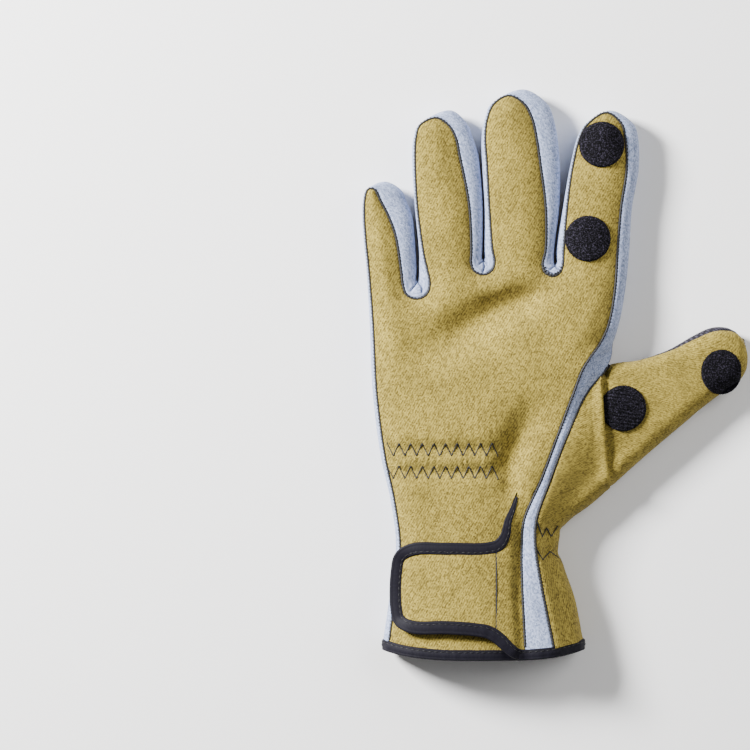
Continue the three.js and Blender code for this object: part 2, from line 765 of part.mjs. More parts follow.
function thumbBack() {
  return loft(THUMB.map((row) => thumbRing(row, 'khaki')));
}

function thumbPalm() {
  return loft(THUMB.slice(FIRST_THUMB_PALM + 1).map((row) => thumbRing(row, 'palm')));
}

// The palm lies flat on the surface. On the thumb side it ends where the thumb's underside starts.
function palmPanel() {
  const edge = THUMB.filter((row) => !row.free).map((row) => [
    mix(row.leftX, row.rightX, row.palm) - GAP,
    mix(row.leftY, row.rightY, row.palm),
  ]);
  const seam = inset(underLine.slice(0, sideEnd - SAMPLES_PER_SPAN), GAP);
  const [hemEnd] = edge.shift();
  const crotch = CROTCH.map((row) => [row.x, row.y]);
  const outline = [...seam, ...crotch, ...edge.reverse(), ...hemLine(hemEnd, seam[0][0])];
  const within = inset(crotch, WALL);
  const web = CROTCH.map(({ height }, i) => [
    [...crotch[i], 0],
    [...crotch[i], height],
    [...within[i], height],
    [...within[i], 0],
  ]);
  const { x, y, width, length } = SLIT_BAND;
  const slot = new THREE.BoxGeometry(width + 2 * GAP, length + 2 * GAP, 3 * WALL);
  slot.translate(x, y, WALL / 2);
  const shape = new THREE.Shape(outline.map(([px, py]) => new THREE.Vector2(px, py)));
  const sheet = new THREE.ExtrudeGeometry(shape, { depth: WALL, bevelEnabled: false });
  return toManifold(sheet).subtract(toManifold(slot)).add(toManifold(loft(web)));
}

function slitBand() {
  const { x, y, width, length, thickness } = SLIT_BAND;
  return new THREE.BoxGeometry(width, length, thickness).translate(x, y, WALL - thickness / 2);
}

// A flat oval tape swept along a path, lying across the direction given for each point
function tape(path, acrossOf, widths, thickness) {
  const rings = path.map((point, i) => {
    const before = path[Math.max(i - 1, 0)];
    const after = path[Math.min(i + 1, path.length - 1)];
    const along = new THREE.Vector3().subVectors(after, before).normalize();
    const across = acrossOf(along);
    const normal = new THREE.Vector3().crossVectors(along, across).normalize();
    return Array.from({ length: TAPE_SIDES }, (_, j) => {
      const angle = (2 * Math.PI * (j + 0.5)) / TAPE_SIDES;
      const scale = 1 / Math.cos(Math.PI / TAPE_SIDES);
      const a = (widths[i] / 2) * THREE.MathUtils.clamp(Math.cos(angle) * scale, -1, 1);
      const b = (thickness / 2) * THREE.MathUtils.clamp(Math.sin(angle) * scale, -1, 1);
      return point.clone().addScaledVector(across, a).addScaledVector(normal, b).toArray();
    });
  });
  return loft(rings);
}

// The hem's path: along the flap's lower edge, round the gusset, under the palm, up the outer side and
// along the back to the slit. The tables give x, and z where the back doesn't set it.
const HEM_OVER_FLAP = [HEM_RIGHT_END, -13.6];
const HEM_ROUND_GUSSET = [
  [-7.4, 22.2],
  [-1.2, 21.1],
  [4.4, 17.4],
  [8.2, 14.9],
  [10.6, 11.6],
  [11.4, 7.6],
  [9.6, 3.4],
];
const HEM_UNDER_PALM = [6, 0, -10, -30, -50, -64];
const HEM_UP_OUTER_SIDE = [
  [-70.5, 2.3],
  [-73.6, 4.2],
  [-74.8, 8],
  [-73.8, 12],
];
const HEM_OVER_CUFF = [-70, -62, -52, -40, -28, HEM_LEFT_END];

function hemBinding() {
  const at = (x, z) => new THREE.Vector3(x, hemEdge(x) + BINDING_WIDTH / 2, z);
  const over = (height) => (x) => at(x, height(x, hemEdge(x) + BINDING_WIDTH) - WALL / 2);
  const path = [
    ...HEM_OVER_FLAP.map(over(flapHeight)),
    ...HEM_ROUND_GUSSET.map(([x, z]) => at(x, z)),
    ...HEM_UNDER_PALM.map((x) => at(x, BINDING_THICKNESS / 2)),
    ...HEM_UP_OUTER_SIDE.map(([x, z]) => at(x, z)),
    ...HEM_OVER_CUFF.map(over(backHeight)),
  ];
  const lengthwise = new THREE.Vector3(0, 1, 0);
  return tape(path, () => lengthwise, path.map(() => BINDING_WIDTH), BINDING_THICKNESS);
}

// A plate at an even height over the cuff
function overCuff(outline, low, high) {
  const [top, bottom] = [high, low].map((lift) => (x, y) => backHeight(x, y) + lift);
  return plate(outline, top, bottom, PANEL_CELL);
}

function strap() {
  const [bottom, top, end] = [STRAP_BOTTOM, STRAP_TOP, STRAP_END];
  const cut = STRAP_CORNER * STRAP_CORNER_CUT;
  const outline = [
    [STRAP_SEAM, top],
    [end + STRAP_CORNER, top],
    [end + cut, top - cut],
    [end, top - STRAP_CORNER],
    [end, bottom + STRAP_CORNER],
    [end + cut, bottom + cut],
    [end + STRAP_CORNER, bottom],
    ...STRAP_ROOT,
  ];
  return overCuff(outline, STRAP_LIFT - WALL, STRAP_LIFT);
}

function strapPad() {
  const { left, right, bottom, top } = STRAP_PAD;
  const outline = [[left, bottom], [right, bottom], [right, top], [left, top]];
  return overCuff(outline, PAD_GAP, PAD_GAP + PAD_THICKNESS);
}

// The tape starts at the top of the slit, climbs with the flap and then stays level with the strap
function strapBinding() {
  const line = sampled(STRAP_BINDING.map((row) => [row.x, row.y, row.width]));
  const path = line.map(([x, y]) => {
    const lift = y > STRAP_TOP && x > STRAP_SEAM ? STRAP_LIFT * flapRamp(y) : STRAP_LIFT;
    const under = Math.max(backHeight(x, y), backHeight(x + 2, y));
    return new THREE.Vector3(x, y, under + lift - STRAP_BINDING_SINK);
  });
  const level = (along) => new THREE.Vector3(along.y, -along.x, 0).normalize();
  return tape(path, level, line.map(([, , width]) => width), STRAP_BINDING_THICKNESS);
}

// Height of a finished mesh under a point, or under the nearest point towards the middle of a dot
function heightOn(mesh, middle) {
  const down = new THREE.Vector3(0, 0, -1);
  const ray = new THREE.Raycaster();
  return (x, y) => {
    for (let reach = 1; reach > 0; reach -= 0.05) {
      ray.set(new THREE.Vector3(mix(middle.x, x, reach), mix(middle.y, y, reach), 100), down);
      const [hit] = ray.intersectObject(mesh);
      if (hit) {
        return hit.point.z;
      }
    }
    return 0;
  };
}

function dot({ x, y, left, right }, surface) {
  const radius = DOT_DIAMETER / 2;
  const outline = Array.from({ length: DOT_SIDES }, (_, i) => {
    const angle = (2 * Math.PI * (i + 0.5)) / DOT_SIDES;
    const px = THREE.MathUtils.clamp(x + radius * Math.cos(angle), left, right);
    return [px, y + radius * Math.sin(angle)];
  });
  const reach = DOT_CLEARANCE;
  const near = [[0, 0], [reach, 0], [-reach, 0], [0, reach], [0, -reach]];
  const bottom = (px, py) => Math.max(...near.map(([dx, dy]) => surface(px + dx, py + dy))) + DOT_GAP;
  return plate(outline, (px, py) => bottom(px, py) + DOT_THICKNESS, bottom, DOT_CELL);
}

const glove = new THREE.Group();

function add(name, shape, colour, roughness = 0.9) {
  const geometry = shape instanceof THREE.BufferGeometry ? shape : fromManifold(shape);
  const material = new THREE.MeshStandardMaterial({ color: COLOURS[colour], roughness, metalness: 0 });
  const mesh = new THREE.Mesh(geometry, material);
  mesh.name = name;
  glove.add(mesh);
  return mesh;
}

const pieces = {
  back_panel: add('back_panel', backPanel(), 'khaki'),
  thumb_back: add('thumb_back', thumbBack(), 'khaki'),
};
add('palm_panel', palmPanel(), 'palm', 0.7);
add('thumb_palm', thumbPalm(), 'palm', 0.7);
Object.keys(FINGERS).forEach((name, i) => {
  add(`${name}_strip`, strip(stripEnds[i], stripEnds[i + 1]), 'grey');
});
add('index_slit_band', slitBand(), 'tape', 0.5);
add('strap', strap(), 'khaki');
add('strap_pad', strapPad(), 'dot', 1);
add('strap_binding', strapBinding(), 'tape', 0.6);
add('hem_binding', hemBinding(), 'tape', 0.6);
for (const [name, place] of Object.entries(DOTS)) {
  add(name, dot(place, heightOn(pieces[place.on], place)), 'dot', 1);
}

glove.position.set(-PLAN_MIDDLE[0], -PLAN_MIDDLE[1], 0);

export default glove;
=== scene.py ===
# Neoprene glove for the left hand, lying on its palm with its back up and its thumb spread.
# Plan positions are millimetres from a point in the web beside the index finger, as in the CAD's source.
# Each mesh is moved from there to the frame and scaled to metres when it is made.
import math

import bpy
import numpy as np
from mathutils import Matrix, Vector, geometry, noise
from mathutils.bvhtree import BVHTree


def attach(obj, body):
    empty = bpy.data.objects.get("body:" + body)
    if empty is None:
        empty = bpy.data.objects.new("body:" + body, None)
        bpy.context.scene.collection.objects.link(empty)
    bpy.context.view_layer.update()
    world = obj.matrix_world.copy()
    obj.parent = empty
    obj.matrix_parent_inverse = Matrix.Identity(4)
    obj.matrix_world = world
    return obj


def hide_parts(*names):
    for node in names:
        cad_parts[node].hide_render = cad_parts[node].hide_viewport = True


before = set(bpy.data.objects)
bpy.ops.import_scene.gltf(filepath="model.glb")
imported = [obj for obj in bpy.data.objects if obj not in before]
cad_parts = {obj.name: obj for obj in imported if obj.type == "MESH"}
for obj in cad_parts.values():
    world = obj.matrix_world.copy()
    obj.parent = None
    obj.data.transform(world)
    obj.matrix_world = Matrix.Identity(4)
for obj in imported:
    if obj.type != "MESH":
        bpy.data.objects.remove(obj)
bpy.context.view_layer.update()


# Back of the hand
# One panel of 2 mm neoprene foam with khaki jersey outside and dark jersey inside. It reaches from the
# fingertips to the hem, is slit at the wrist, and is sewn edge to edge to the grey side strips.

# Rows of a finger from its root: y, then x of the left outline, left seam, right seam and right outline
FINGERS = {
    "little": {
        "rows": [
            (43.6, -83.1, -82.0, -67.9, -61.1),
            (59.8, -84.6, -83.6, -70.5, -62.1),
            (68.6, -85.0, -84.1, -73.8, -63.2),
            (75.2, -84.7, -83.9, -77.2, -65.8),
            (79.6, -83.4, -82.7, -79.4, -67.8),
        ],
        "seam_tip": (-81.3, 80.3),
        "out_tip": (-75.0, 83.4),
    },
    "ring": {
        "rows": [
            (52.4, -60.0, -58.1, -37.1, -32.1),
            (73.0, -61.9, -60.8, -38.1, -31.9),
            (95.0, -63.1, -61.8, -42.3, -34.0),
            (103.0, -62.4, -61.3, -44.1, -36.5),
            (108.2, -60.3, -59.5, -47.2, -38.4),
        ],
        "seam_tip": (-52.6, 111.3),
        "out_tip": (-46.0, 114.8),
    },
    "middle": {
        "rows": [
            (53.2, -31.4, -27.7, -4.5, -0.4),
            (71.7, -31.2, -29.1, -4.4, 1.7),
            (90.6, -32.2, -30.1, -6.7, 2.0),
            (103.4, -32.4, -30.9, -8.6, 0.9),
            (111.3, -31.0, -29.9, -10.5, -0.8),
            (117.5, -28.4, -27.1, -13.9, -3.4),
        ],
        "seam_tip": (-20.5, 121.1),
        "out_tip": (-13.9, 124.0),
    },
    "index": {
        "rows": [
            (53.2, 0.3, 3.6, 27.2, 32.6),
            (71.7, 3.3, 5.1, 28.7, 33.8),
            (89.3, 6.4, 7.5, 31.2, 36.8),
            (103.4, 10.0, 11.0, 30.4, 36.4),
            (108.7, 13.3, 14.3, 29.0, 34.5),
        ],
        "seam_tip": (22.5, 113.6),
        "out_tip": (24.4, 114.7),
    },
}
# The seam round each web: its middle, its reach across and along, and the point where the slit ends
WEBS = [
    (-61.2, 37.4, 5.9, 5.8, -60.8, 40.5),
    (-32.0, 47.7, 5.3, 5.4, -31.8, 49.9),
    (-1.3, 46.6, 4.5, 5.0, 0.0, 48.0),
]
OUTER_SIDE_COLUMNS = ("y", "out", "seam")
OUTER_SIDE = [
    (-118.9, -75.8, -73.1),
    (-117.2, -75.6, -72.9),
    (-93.3, -72.1, -69.9),
    (-76.6, -70.2, -68.3),
    (-56.8, -72.6, -70.8),
    (-37.8, -76.8, -74.9),
    (-9.7, -80.4, -78.6),
    (20.2, -81.7, -80.2),
]
BAND_COLUMNS = ("y", "seam", "out", "out_height")
BAND = [
    (36.0, 26.0, 30.9, 7.0),
    (20.2, 23.1, 27.9, 7.0),
    (11.4, 19.0, 26.4, 9.0),
    (6.2, 15.2, 25.1, 10.0),
    (0.0, 11.4, 21.6, 14.0),
    (-9.7, 7.7, 13.6, 17.0),
    (-28.6, 0.6, 4.8, 20.5),
    (-48.0, -6.6, -2.6, 20.0),
    (-65.6, -14.1, -8.7, 21.0),
    (-76.6, -15.0, -9.1, 21.5),
    (-93.3, -14.9, -6.6, 22.0),
    (-120.6, -13.6, -1.2, 22.5),
    (-122.8, -13.5, -0.8, 22.5),
]
BACK_HEIGHT_COLUMNS = ("y", "left", "bulge", "right")
BACK_HEIGHTS = [
    (-127, 14.5, 4.5, 18.0),
    (-95, 13.5, 3.5, 16.5),
    (-77, 13.0, 2.5, 15.5),
    (-50, 13.5, 2.5, 17.5),
    (-28, 14.0, 3.0, 18.5),
    (0, 13.5, 2.5, 17.0),
    (20, 13.0, 2.0, 15.5),
    (46, 12.5, 0.5, 12.8),
    (124, 12.0, 0.0, 12.0),
]
FOLD_COLUMNS = ("x", "y", "depth", "reach")
KNUCKLE_FOLD = [
    (-3, 37, 3.4, 5), (-15.5, 30.5, 6.6, 7), (-27.5, 26, 7.6, 8), (-40, 18.5, 7.0, 9), (-57, 9.5, 2.2, 9),
]
WRIST_FOLD = [
    (-6, -10, 0.5, 8), (-11.5, -21, 3.8, 7.5), (-17.5, -31.5, 6.4, 7), (-21, -40, 6.6, 6),
    (-20, -50, 3.4, 4.5),
]
CUFF_FOLD = [
    (-12.5, -58, 0.3, 2), (-15.8, -68, 2.0, 2.3), (-16.4, -80, 2.8, 2.5), (-16.2, -100, 2.6, 2.5),
    (-15, -123, 2.0, 2.5),
]
SIDE_HEIGHT = 7.0
CROWN_RISE = 3.0
CROWN_REACH = 11.0
WALL = 1.9
UNDER_LEFT = 6.5
UNDER_RIGHT = 1.7
UNDER_TIP = 5.0
TIP_REACH = 15.0
SLIT_END_RADIUS = 0.5
SAMPLES_PER_SPAN = 10
SEAM_GAP = 0.06
SEAM_ROLL = 1.2
SEAM_DEPTH = 0.9
HEM_LOW = -127.2
HEM_MIDDLE = -32.0
HEM_HALF_WIDTH = 50.0
HEM_RISE = 7.2
HEM_POWER = 3.4
TAPE_WIDTH = 5.0
SLIT_TOP = -53.4
FLAP_LIFT = 3.4
FLAP_RAMP = 16.0
CUFF_EDGE = [
    (-17.4, SLIT_TOP), (-19.3, -58.0), (-21.0, -63.5), (-21.8, -74.0), (-21.8, -100.0), (-17.2, -112.0),
    (-16.9, -123.2),
]
FLAP_EDGE = [
    (-16.8, SLIT_TOP), (-18.4, -60.0), (-20.5, -66.0), (-21.6, -72.0), (-24.0, -77.4), (-26.2, -79.4),
]
STRAP_SEAM = -26.2
STRAP_TOP = -80.9
STRAP_FOOT = -115.4
# The elastic inside the wrist draws the back in along two rows, and less and less towards the thumb
ELASTIC_ROWS = (-34.5, -44.5)
ELASTIC_DEPTH = 1.6
ELASTIC_REACH = 3.0
ELASTIC_FADE = (22, 28)
BAND_ROUND_ABOVE = 20.0
BAND_FLAT_BELOW = 2.0
OUTLINE_STEP = 1.2
# Rows of points beside a panel's edge, at these distances from it
EDGE_ROWS = (0.12, 0.4, 0.8, 1.25)
DISTANCE_BATCH = 1500
FRAME_SHIFT = np.array([0.1, 1.6, 0.0])
MILLIMETRE = 0.001


def columns(names, rows):
    return {name: np.array(values, float) for name, values in zip(names, zip(*rows))}


def mix(a, b, share):
    return a + (b - a) * share


def smooth(value, low, high):
    share = np.clip((value - low) / (high - low), 0, 1)
    return share * share * (3 - 2 * share)


def hump(distance, reach):
    return np.exp(-((distance / reach) ** 2))


def unit(vectors):
    return vectors / np.maximum(np.linalg.norm(vectors, axis=-1), 1e-9)[..., None]


def closed(outline):
    return np.vstack([outline, outline[:1]])


def smooth_line(points, per_span=SAMPLES_PER_SPAN):
    """A centripetal Catmull-Rom curve through the points, as the CAD's plan curves are."""
    p = np.array(points, float)
    p = np.vstack([2 * p[0] - p[1], p, 2 * p[-1] - p[-2]])
    step = np.maximum(np.sqrt(np.linalg.norm(np.diff(p, axis=0), axis=1)), 1e-4)[:, None]
    d0, d1, d2 = step[:-2], step[1:-1], step[2:]
    p0, p1, p2, p3 = p[:-3], p[1:-2], p[2:-1], p[3:]
    leave = ((p1 - p0) / d0 - (p2 - p0) / (d0 + d1) + (p2 - p1) / d1) * d1
    arrive = ((p2 - p1) / d1 - (p3 - p1) / (d1 + d2) + (p3 - p2) / d2) * d1
    t = (np.arange(per_span) / per_span)[None, :, None]
    a, b, m, n = (part[:, None, :] for part in (p1, p2, leave, arrive))
    line = a + m * t + (3 * (b - a) - 2 * m - n) * t**2 + (2 * (a - b) + m + n) * t**3
    return np.vstack([line.reshape(-1, p.shape[1]), p[-2]])


def along(points, step=OUTLINE_STEP):
    """Straight runs between the points, cut into even steps."""
    line = []
    for a, b in zip(points[:-1], points[1:]):
        count = max(1, math.ceil(math.dist(a, b) / step))
        line += [mix(np.array(a), np.array(b), i / count) for i in range(count)]
    return np.array(line + [np.array(points[-1], float)])


outer_side = columns(OUTER_SIDE_COLUMNS, OUTER_SIDE)
band = columns(BAND_COLUMNS, BAND[::-1])
back_heights = columns(BACK_HEIGHT_COLUMNS, BACK_HEIGHTS)

# Stations round the glove: the seam on the back, the outline, the seam underneath, and how flat the strip is
stations = []
strip_ends = [0]
for y, out, seam in OUTER_SIDE:
    stations.append((seam, y, out, y, out + UNDER_LEFT, y, 0))
for web_number, finger in enumerate(FINGERS.values()):
    (tip_x, tip_y), (seam_tip_x, seam_tip_y) = finger["out_tip"], finger["seam_tip"]
    for y, out, seam, _, _ in finger["rows"]:
        drop = UNDER_TIP * smooth(y, tip_y - TIP_REACH, tip_y)
        stations.append((seam, y, out, y, out + UNDER_LEFT, y - drop, 0))
    under_x = tip_x + (UNDER_LEFT - UNDER_RIGHT) / 2
    stations.append((seam_tip_x, seam_tip_y, tip_x, tip_y, under_x, tip_y - UNDER_TIP, 0))
    for y, _, _, seam, out in finger["rows"][::-1]:
        drop = UNDER_TIP * smooth(y, tip_y - TIP_REACH, tip_y)
        stations.append((seam, y, out, y, out - UNDER_RIGHT, y - drop, 0))
    if web_number == len(WEBS):
        break
    x, y, across, deep, slit_x, slit_y = WEBS[web_number]
    for degrees in (180, 225, 270, 315, 360):
        cos, sin = math.cos(math.radians(degrees)), math.sin(math.radians(degrees))
        under_x = slit_x + (UNDER_LEFT + UNDER_RIGHT) / 2 * cos + (UNDER_LEFT - UNDER_RIGHT) / 2
        out = (slit_x + SLIT_END_RADIUS * cos, slit_y + SLIT_END_RADIUS * sin)
        stations.append((x + across * cos, y + deep * sin, *out, under_x, slit_y + UNDER_TIP * sin, 0))
        if degrees == 270:
            strip_ends.append((len(stations) - 1) * SAMPLES_PER_SPAN)
side_end = (len(stations) + 2) * SAMPLES_PER_SPAN
for y, seam, out, _ in BAND:
    flat = smooth(-y, -BAND_ROUND_ABOVE, -BAND_FLAT_BELOW)
    middle = mix(out, (seam + out) / 2, flat)
    stations.append((seam, y, middle, y, mix(out - UNDER_RIGHT, out, flat), y, flat))
strip_ends.append((len(stations) - 1) * SAMPLES_PER_SPAN)
stations = np.array(stations, float)
seam_line = smooth_line(stations[:, 0:2])
edge_line = smooth_line(stations[:, 2:4])
palm_line = smooth_line(stations[:, 4:6])
flatness = np.interp(np.arange(len(seam_line)) / SAMPLES_PER_SPAN, np.arange(len(stations)), stations[:, 6])


def distance_to(line, x, y):
    """Distance of each point from a line in plan, and the place of the nearest point along it."""
    start, run = line[:-1], np.diff(line, axis=0)
    squared = np.maximum((run**2).sum(1), 1e-12)
    points = np.column_stack([x, y])
    distance, place = np.empty(len(points)), np.empty(len(points))
    for i in range(0, len(points), DISTANCE_BATCH):
        batch = slice(i, i + DISTANCE_BATCH)
        p = points[batch, None, :]
        t = np.clip(((p - start) * run).sum(2) / squared, 0, 1)
        gap = np.linalg.norm(p - start - t[..., None] * run, axis=2)
        nearest = gap.argmin(1)
        rows = np.arange(len(nearest))
        distance[batch] = gap[rows, nearest]
        place[batch] = nearest + t[rows, nearest]
    return distance, place


def fold_depth(x, y, fold):
    fold = columns(FOLD_COLUMNS, fold)
    distance, place = distance_to(np.column_stack([fold["x"], fold["y"]]), x, y)
    order = np.arange(len(fold["x"]))
    return np.interp(place, order, fold["depth"]) * hump(distance, np.interp(place, order, fold["reach"]))


def back_height(x, y):
    """Height of the panel's outer face: up from the seams round it, level into the band, less the folds."""
    x, y = np.atleast_1d(np.asarray(x, float)), np.atleast_1d(np.asarray(y, float))
    left = np.interp(y, outer_side["y"], outer_side["seam"])
    right = np.interp(y, band["y"], band["seam"])
    across = np.clip(2 * (x - left) / (right - left) - 1, -1, 1)
    sides = [np.interp(y, back_heights["y"], back_heights[side]) for side in ("left", "right")]
    seam = mix(sides[0], sides[1], (across + 1) / 2)
    bulge = np.interp(y, back_heights["y"], back_heights["bulge"]) * (1 - across**2)
    inward = np.minimum(distance_to(seam_line[:side_end], x, y)[0] / CROWN_REACH, 1)
    crown = CROWN_RISE * (1 - (1 - inward) ** 2)
    elastic = np.maximum(*(hump(y - row, ELASTIC_REACH) for row in ELASTIC_ROWS))
    folds = fold_depth(x, y, KNUCKLE_FOLD) + fold_depth(x, y, WRIST_FOLD)
    folds += ELASTIC_DEPTH * elastic * smooth(-x, *ELASTIC_FADE)
    return seam + bulge + crown - folds * inward - fold_depth(x, y, CUFF_FOLD)


def flap_height(x, y):
    """The thumb side of the slit lifts clear of the cuff that it laps over."""
    return back_height(x, y) + FLAP_LIFT * smooth(-np.asarray(y, float), -SLIT_TOP, -SLIT_TOP + FLAP_RAMP)


def hem_edge(x):
    return HEM_LOW + HEM_RISE * (np.abs(np.asarray(x, float) - HEM_MIDDLE) / HEM_HALF_WIDTH) ** HEM_POWER


def to_right(line):
    """Unit vectors to the right of a plan line's direction of travel, which is into the glove."""
    run = unit(np.gradient(line, axis=0))
    return np.column_stack([run[:, 1], -run[:, 0]])


def inset(line, distance):
    return line + to_right(line) * distance


def inside(outline, x, y):
    """True where a point lies within a closed outline."""
    found = np.zeros(len(x), bool)
    for (ax, ay), (bx, by) in zip(outline, np.roll(outline, -1, axis=0)):
        if ay == by:
            continue
        crosses = (ay > y) != (by > y)
        found ^= crosses & (x < (bx - ax) * (y - ay) / (by - ay) + ax)
    return found


def cut_panel(outline, cell, edge_rows=EDGE_ROWS):
    """A flat panel's points and triangles: its outline, rows beside the edge, and a grid within."""
    edge = closed(outline)
    area = (edge[:-1, 0] * edge[1:, 1] - edge[1:, 0] * edge[:-1, 1]).sum() / 2
    run = unit(np.roll(outline, -1, axis=0) - np.roll(outline, 1, axis=0))
    inwards = np.column_stack([-run[:, 1], run[:, 0]]) * np.sign(area)
    points = [outline]
    for distance in edge_rows:
        row = outline + inwards * distance
        clear = distance_to(edge, *row.T)[0] > 0.9 * distance
        points.append(row[clear & inside(outline, *row.T)])
    low, high = outline.min(0), outline.max(0)
    grid = []
    for j, y in enumerate(np.arange(low[1], high[1], cell * math.sqrt(3) / 2)):
        grid += [(x, y) for x in np.arange(low[0] + (j % 2) * cell / 2, high[0], cell)]
    grid = np.array(grid)
    grid = grid[inside(outline, *grid.T)]
    points.append(grid[distance_to(edge, *grid.T)[0] > edge_rows[-1] + cell / 2])
    count = len(outline)
    edges = [(i, (i + 1) % count) for i in range(count)]
    made = geometry.delaunay_2d_cdt([Vector(p) for p in np.vstack(points)], edges, [], 1, 1e-6)
    flat = np.array([tuple(v) for v in made[0]])
    triangles = np.array([tuple(f) for f in made[2]])
    a, b, c = (flat[triangles[:, k]] for k in range(3))
    turned = (b[:, 0] - a[:, 0]) * (c[:, 1] - a[:, 1]) - (b[:, 1] - a[:, 1]) * (c[:, 0] - a[:, 0]) < 0
    triangles[turned] = triangles[turned][:, ::-1]
    return flat, triangles


def edge_roll(distance, reach=SEAM_ROLL, depth=SEAM_DEPTH):
    """How far the cloth turns in towards its edge at this distance from it."""
    share = np.clip(distance / reach, 0, 1)
    return depth * (1 - np.sqrt(1 - (1 - share) ** 2))


def shell(flat, upper, lower, triangles):
    """A closed sheet over plan points: its upper face, its lower face, and a rim round every free edge."""
    count = len(flat)
    points = np.vstack([np.column_stack([flat, upper]), np.column_stack([flat, lower])])
    edges = np.vstack([triangles[:, [0, 1]], triangles[:, [1, 2]], triangles[:, [2, 0]]]).tolist()
    known = set(map(tuple, edges))
    rim = [(a, a + count, b + count, b) for a, b in edges if (b, a) not in known]
    faces = triangles.tolist() + rim + (triangles[:, ::-1] + count).tolist()
    lining = [0] * (len(triangles) + len(rim)) + [1] * len(triangles)
    return points, faces, lining


def add_object(name, data):
    made = bpy.data.objects.new(name, data)
    bpy.context.scene.collection.objects.link(made)
    return made


def make_piece(name, points, faces, materials, lining=None, uv=None, sharp=50):
    """A mesh object in the frame, from points in the plan's millimetres. Its UV map is in millimetres."""
    mesh = bpy.data.meshes.new(name)
    mesh.from_pydata(((points + FRAME_SHIFT) * MILLIMETRE).tolist(), [], faces)
    for material in materials:
        mesh.materials.append(material)
    if lining is not None:
        mesh.polygons.foreach_set("material_index", lining)
    mesh.polygons.foreach_set("use_smooth", [True] * len(mesh.polygons))
    mesh.set_sharp_from_angle(angle=math.radians(sharp))
    if uv is not None:
        corners = np.zeros(len(mesh.loops), np.int32)
        mesh.loops.foreach_get("vertex_index", corners)
        mesh.uv_layers.new(name="UVMap").uv.foreach_set("vector", np.asarray(uv, np.float32)[corners].ravel())
    return add_object(name, mesh)


def linear(code):
    """Linear colour from an sRGB hex value."""
    shares = [int(code[i:i + 2], 16) / 255 for i in (1, 3, 5)]
    return [c / 12.92 if c <= 0.04045 else ((c + 0.055) / 1.055) ** 2.4 for c in shares] + [1.0]


def set_inputs(tree, node, inputs):
    """Sets a node's inputs to values, or links them to other nodes' sockets."""
    for name, value in inputs.items():
        if isinstance(value, bpy.types.NodeSocket):
            tree.links.new(value, node.inputs[name])
        else:
            node.inputs[name].default_value = value


def add_node(tree, kind, settings=None, inputs=None):
    node = tree.nodes.new(kind)
    for name, value in (settings or {}).items():
        setattr(node, name, value)
    set_inputs(tree, node, inputs or {})
    return node


def blend(tree, kind, share, a, b):
    """The mix of two FLOAT values or two RGBA colours."""
    node = add_node(tree, "ShaderNodeMix", {"data_type": kind}, {"Factor": share, "A": a, "B": b})
    return node.outputs["Result"]


def bumps(tree, strength, distance, height):
    return add_node(tree, "ShaderNodeBump", None, {
        "Strength": strength, "Distance": distance, "Height": height}).outputs[0]


def new_material(name):
    material = bpy.data.materials.new(name)
    material.use_nodes = True
    return material, material.node_tree


def set_shader(tree, inputs):
    set_inputs(tree, tree.nodes["Principled BSDF"], inputs)


# The period of a wave texture whose scale is 1
WAVE_PERIOD = 0.314


def knit_jersey(name, light, dark, stitch=0.6, slant=35, rows=0.16):
    """Nylon jersey laminated on foam, knitted on a circular machine. Each loop turns a little differently
    to the light, so the cloth shows soft light and dark specks along slanting rows."""
    material, tree = new_material(name)
    place = add_node(tree, "ShaderNodeUVMap").outputs[0]
    turned = add_node(tree, "ShaderNodeMapping", None, {
        "Vector": place, "Rotation": (0, 0, math.radians(slant)), "Scale": (1.0, 0.8, 1.0)}).outputs[0]
    # One cell to a stitch, and a row of stitches every 1.6 of them
    loops = add_node(tree, "ShaderNodeTexVoronoi", {"voronoi_dimensions": "2D"}, {
        "Vector": turned, "Scale": 1 / stitch, "Randomness": 0.8})
    fuzz = add_node(tree, "ShaderNodeTexNoise", {"noise_dimensions": "2D"}, {
        "Vector": turned, "Scale": 2.2 / stitch, "Detail": 2.0, "Roughness": 0.7})
    courses = add_node(tree, "ShaderNodeTexWave", {"bands_direction": "X"}, {
        "Vector": turned, "Scale": WAVE_PERIOD / (stitch * 1.6), "Distortion": 3.0, "Detail": 2.0,
        "Detail Scale": 1.5})
    patches = add_node(tree, "ShaderNodeTexNoise", {"noise_dimensions": "2D"}, {
        "Vector": turned, "Scale": 0.05, "Detail": 3.0})
    specks = blend(tree, "FLOAT", 0.5, loops.outputs["Color"], fuzz.outputs["Fac"])
    grain = blend(tree, "FLOAT", rows, specks, courses.outputs["Fac"])
    shade = add_node(tree, "ShaderNodeMapRange", None, {"Value": grain, "From Min": 0.3, "From Max": 0.68})
    cloth = blend(tree, "RGBA", shade.outputs[0], linear(dark), linear(light))
    worn = add_node(tree, "ShaderNodeMapRange", None, {
        "Value": patches.outputs["Fac"], "From Min": 0.35, "From Max": 0.7, "To Min": 0.88, "To Max": 1.08})
    colour = add_node(tree, "ShaderNodeHueSaturation", None, {"Color": cloth, "Value": worn.outputs[0]})
    set_shader(tree, {
        "Base Color": colour.outputs[0], "Normal": bumps(tree, 0.7, 0.00025, grain), "Roughness": 0.9,
        "Specular IOR Level": 0.15, "Sheen Weight": 0.05, "Sheen Roughness": 0.5})
    return material


khaki_jersey = knit_jersey("khaki_nylon_jersey", "#9C8A3E", "#54471B")
lining_jersey = knit_jersey("dark_lining_jersey", "#5C5964", "#36333D")

HEM_IN_TAPE = 4.0
HEM_STEP = 1.3
PANEL_CELL = 1.25
# The flap's lower corner, from the hem to the foot of the strap's seam
FLAP_CORNER = [(-18.4, -123.4), (-20.9, -119.8), (-23.4, -117.2), (STRAP_SEAM, STRAP_FOOT)]

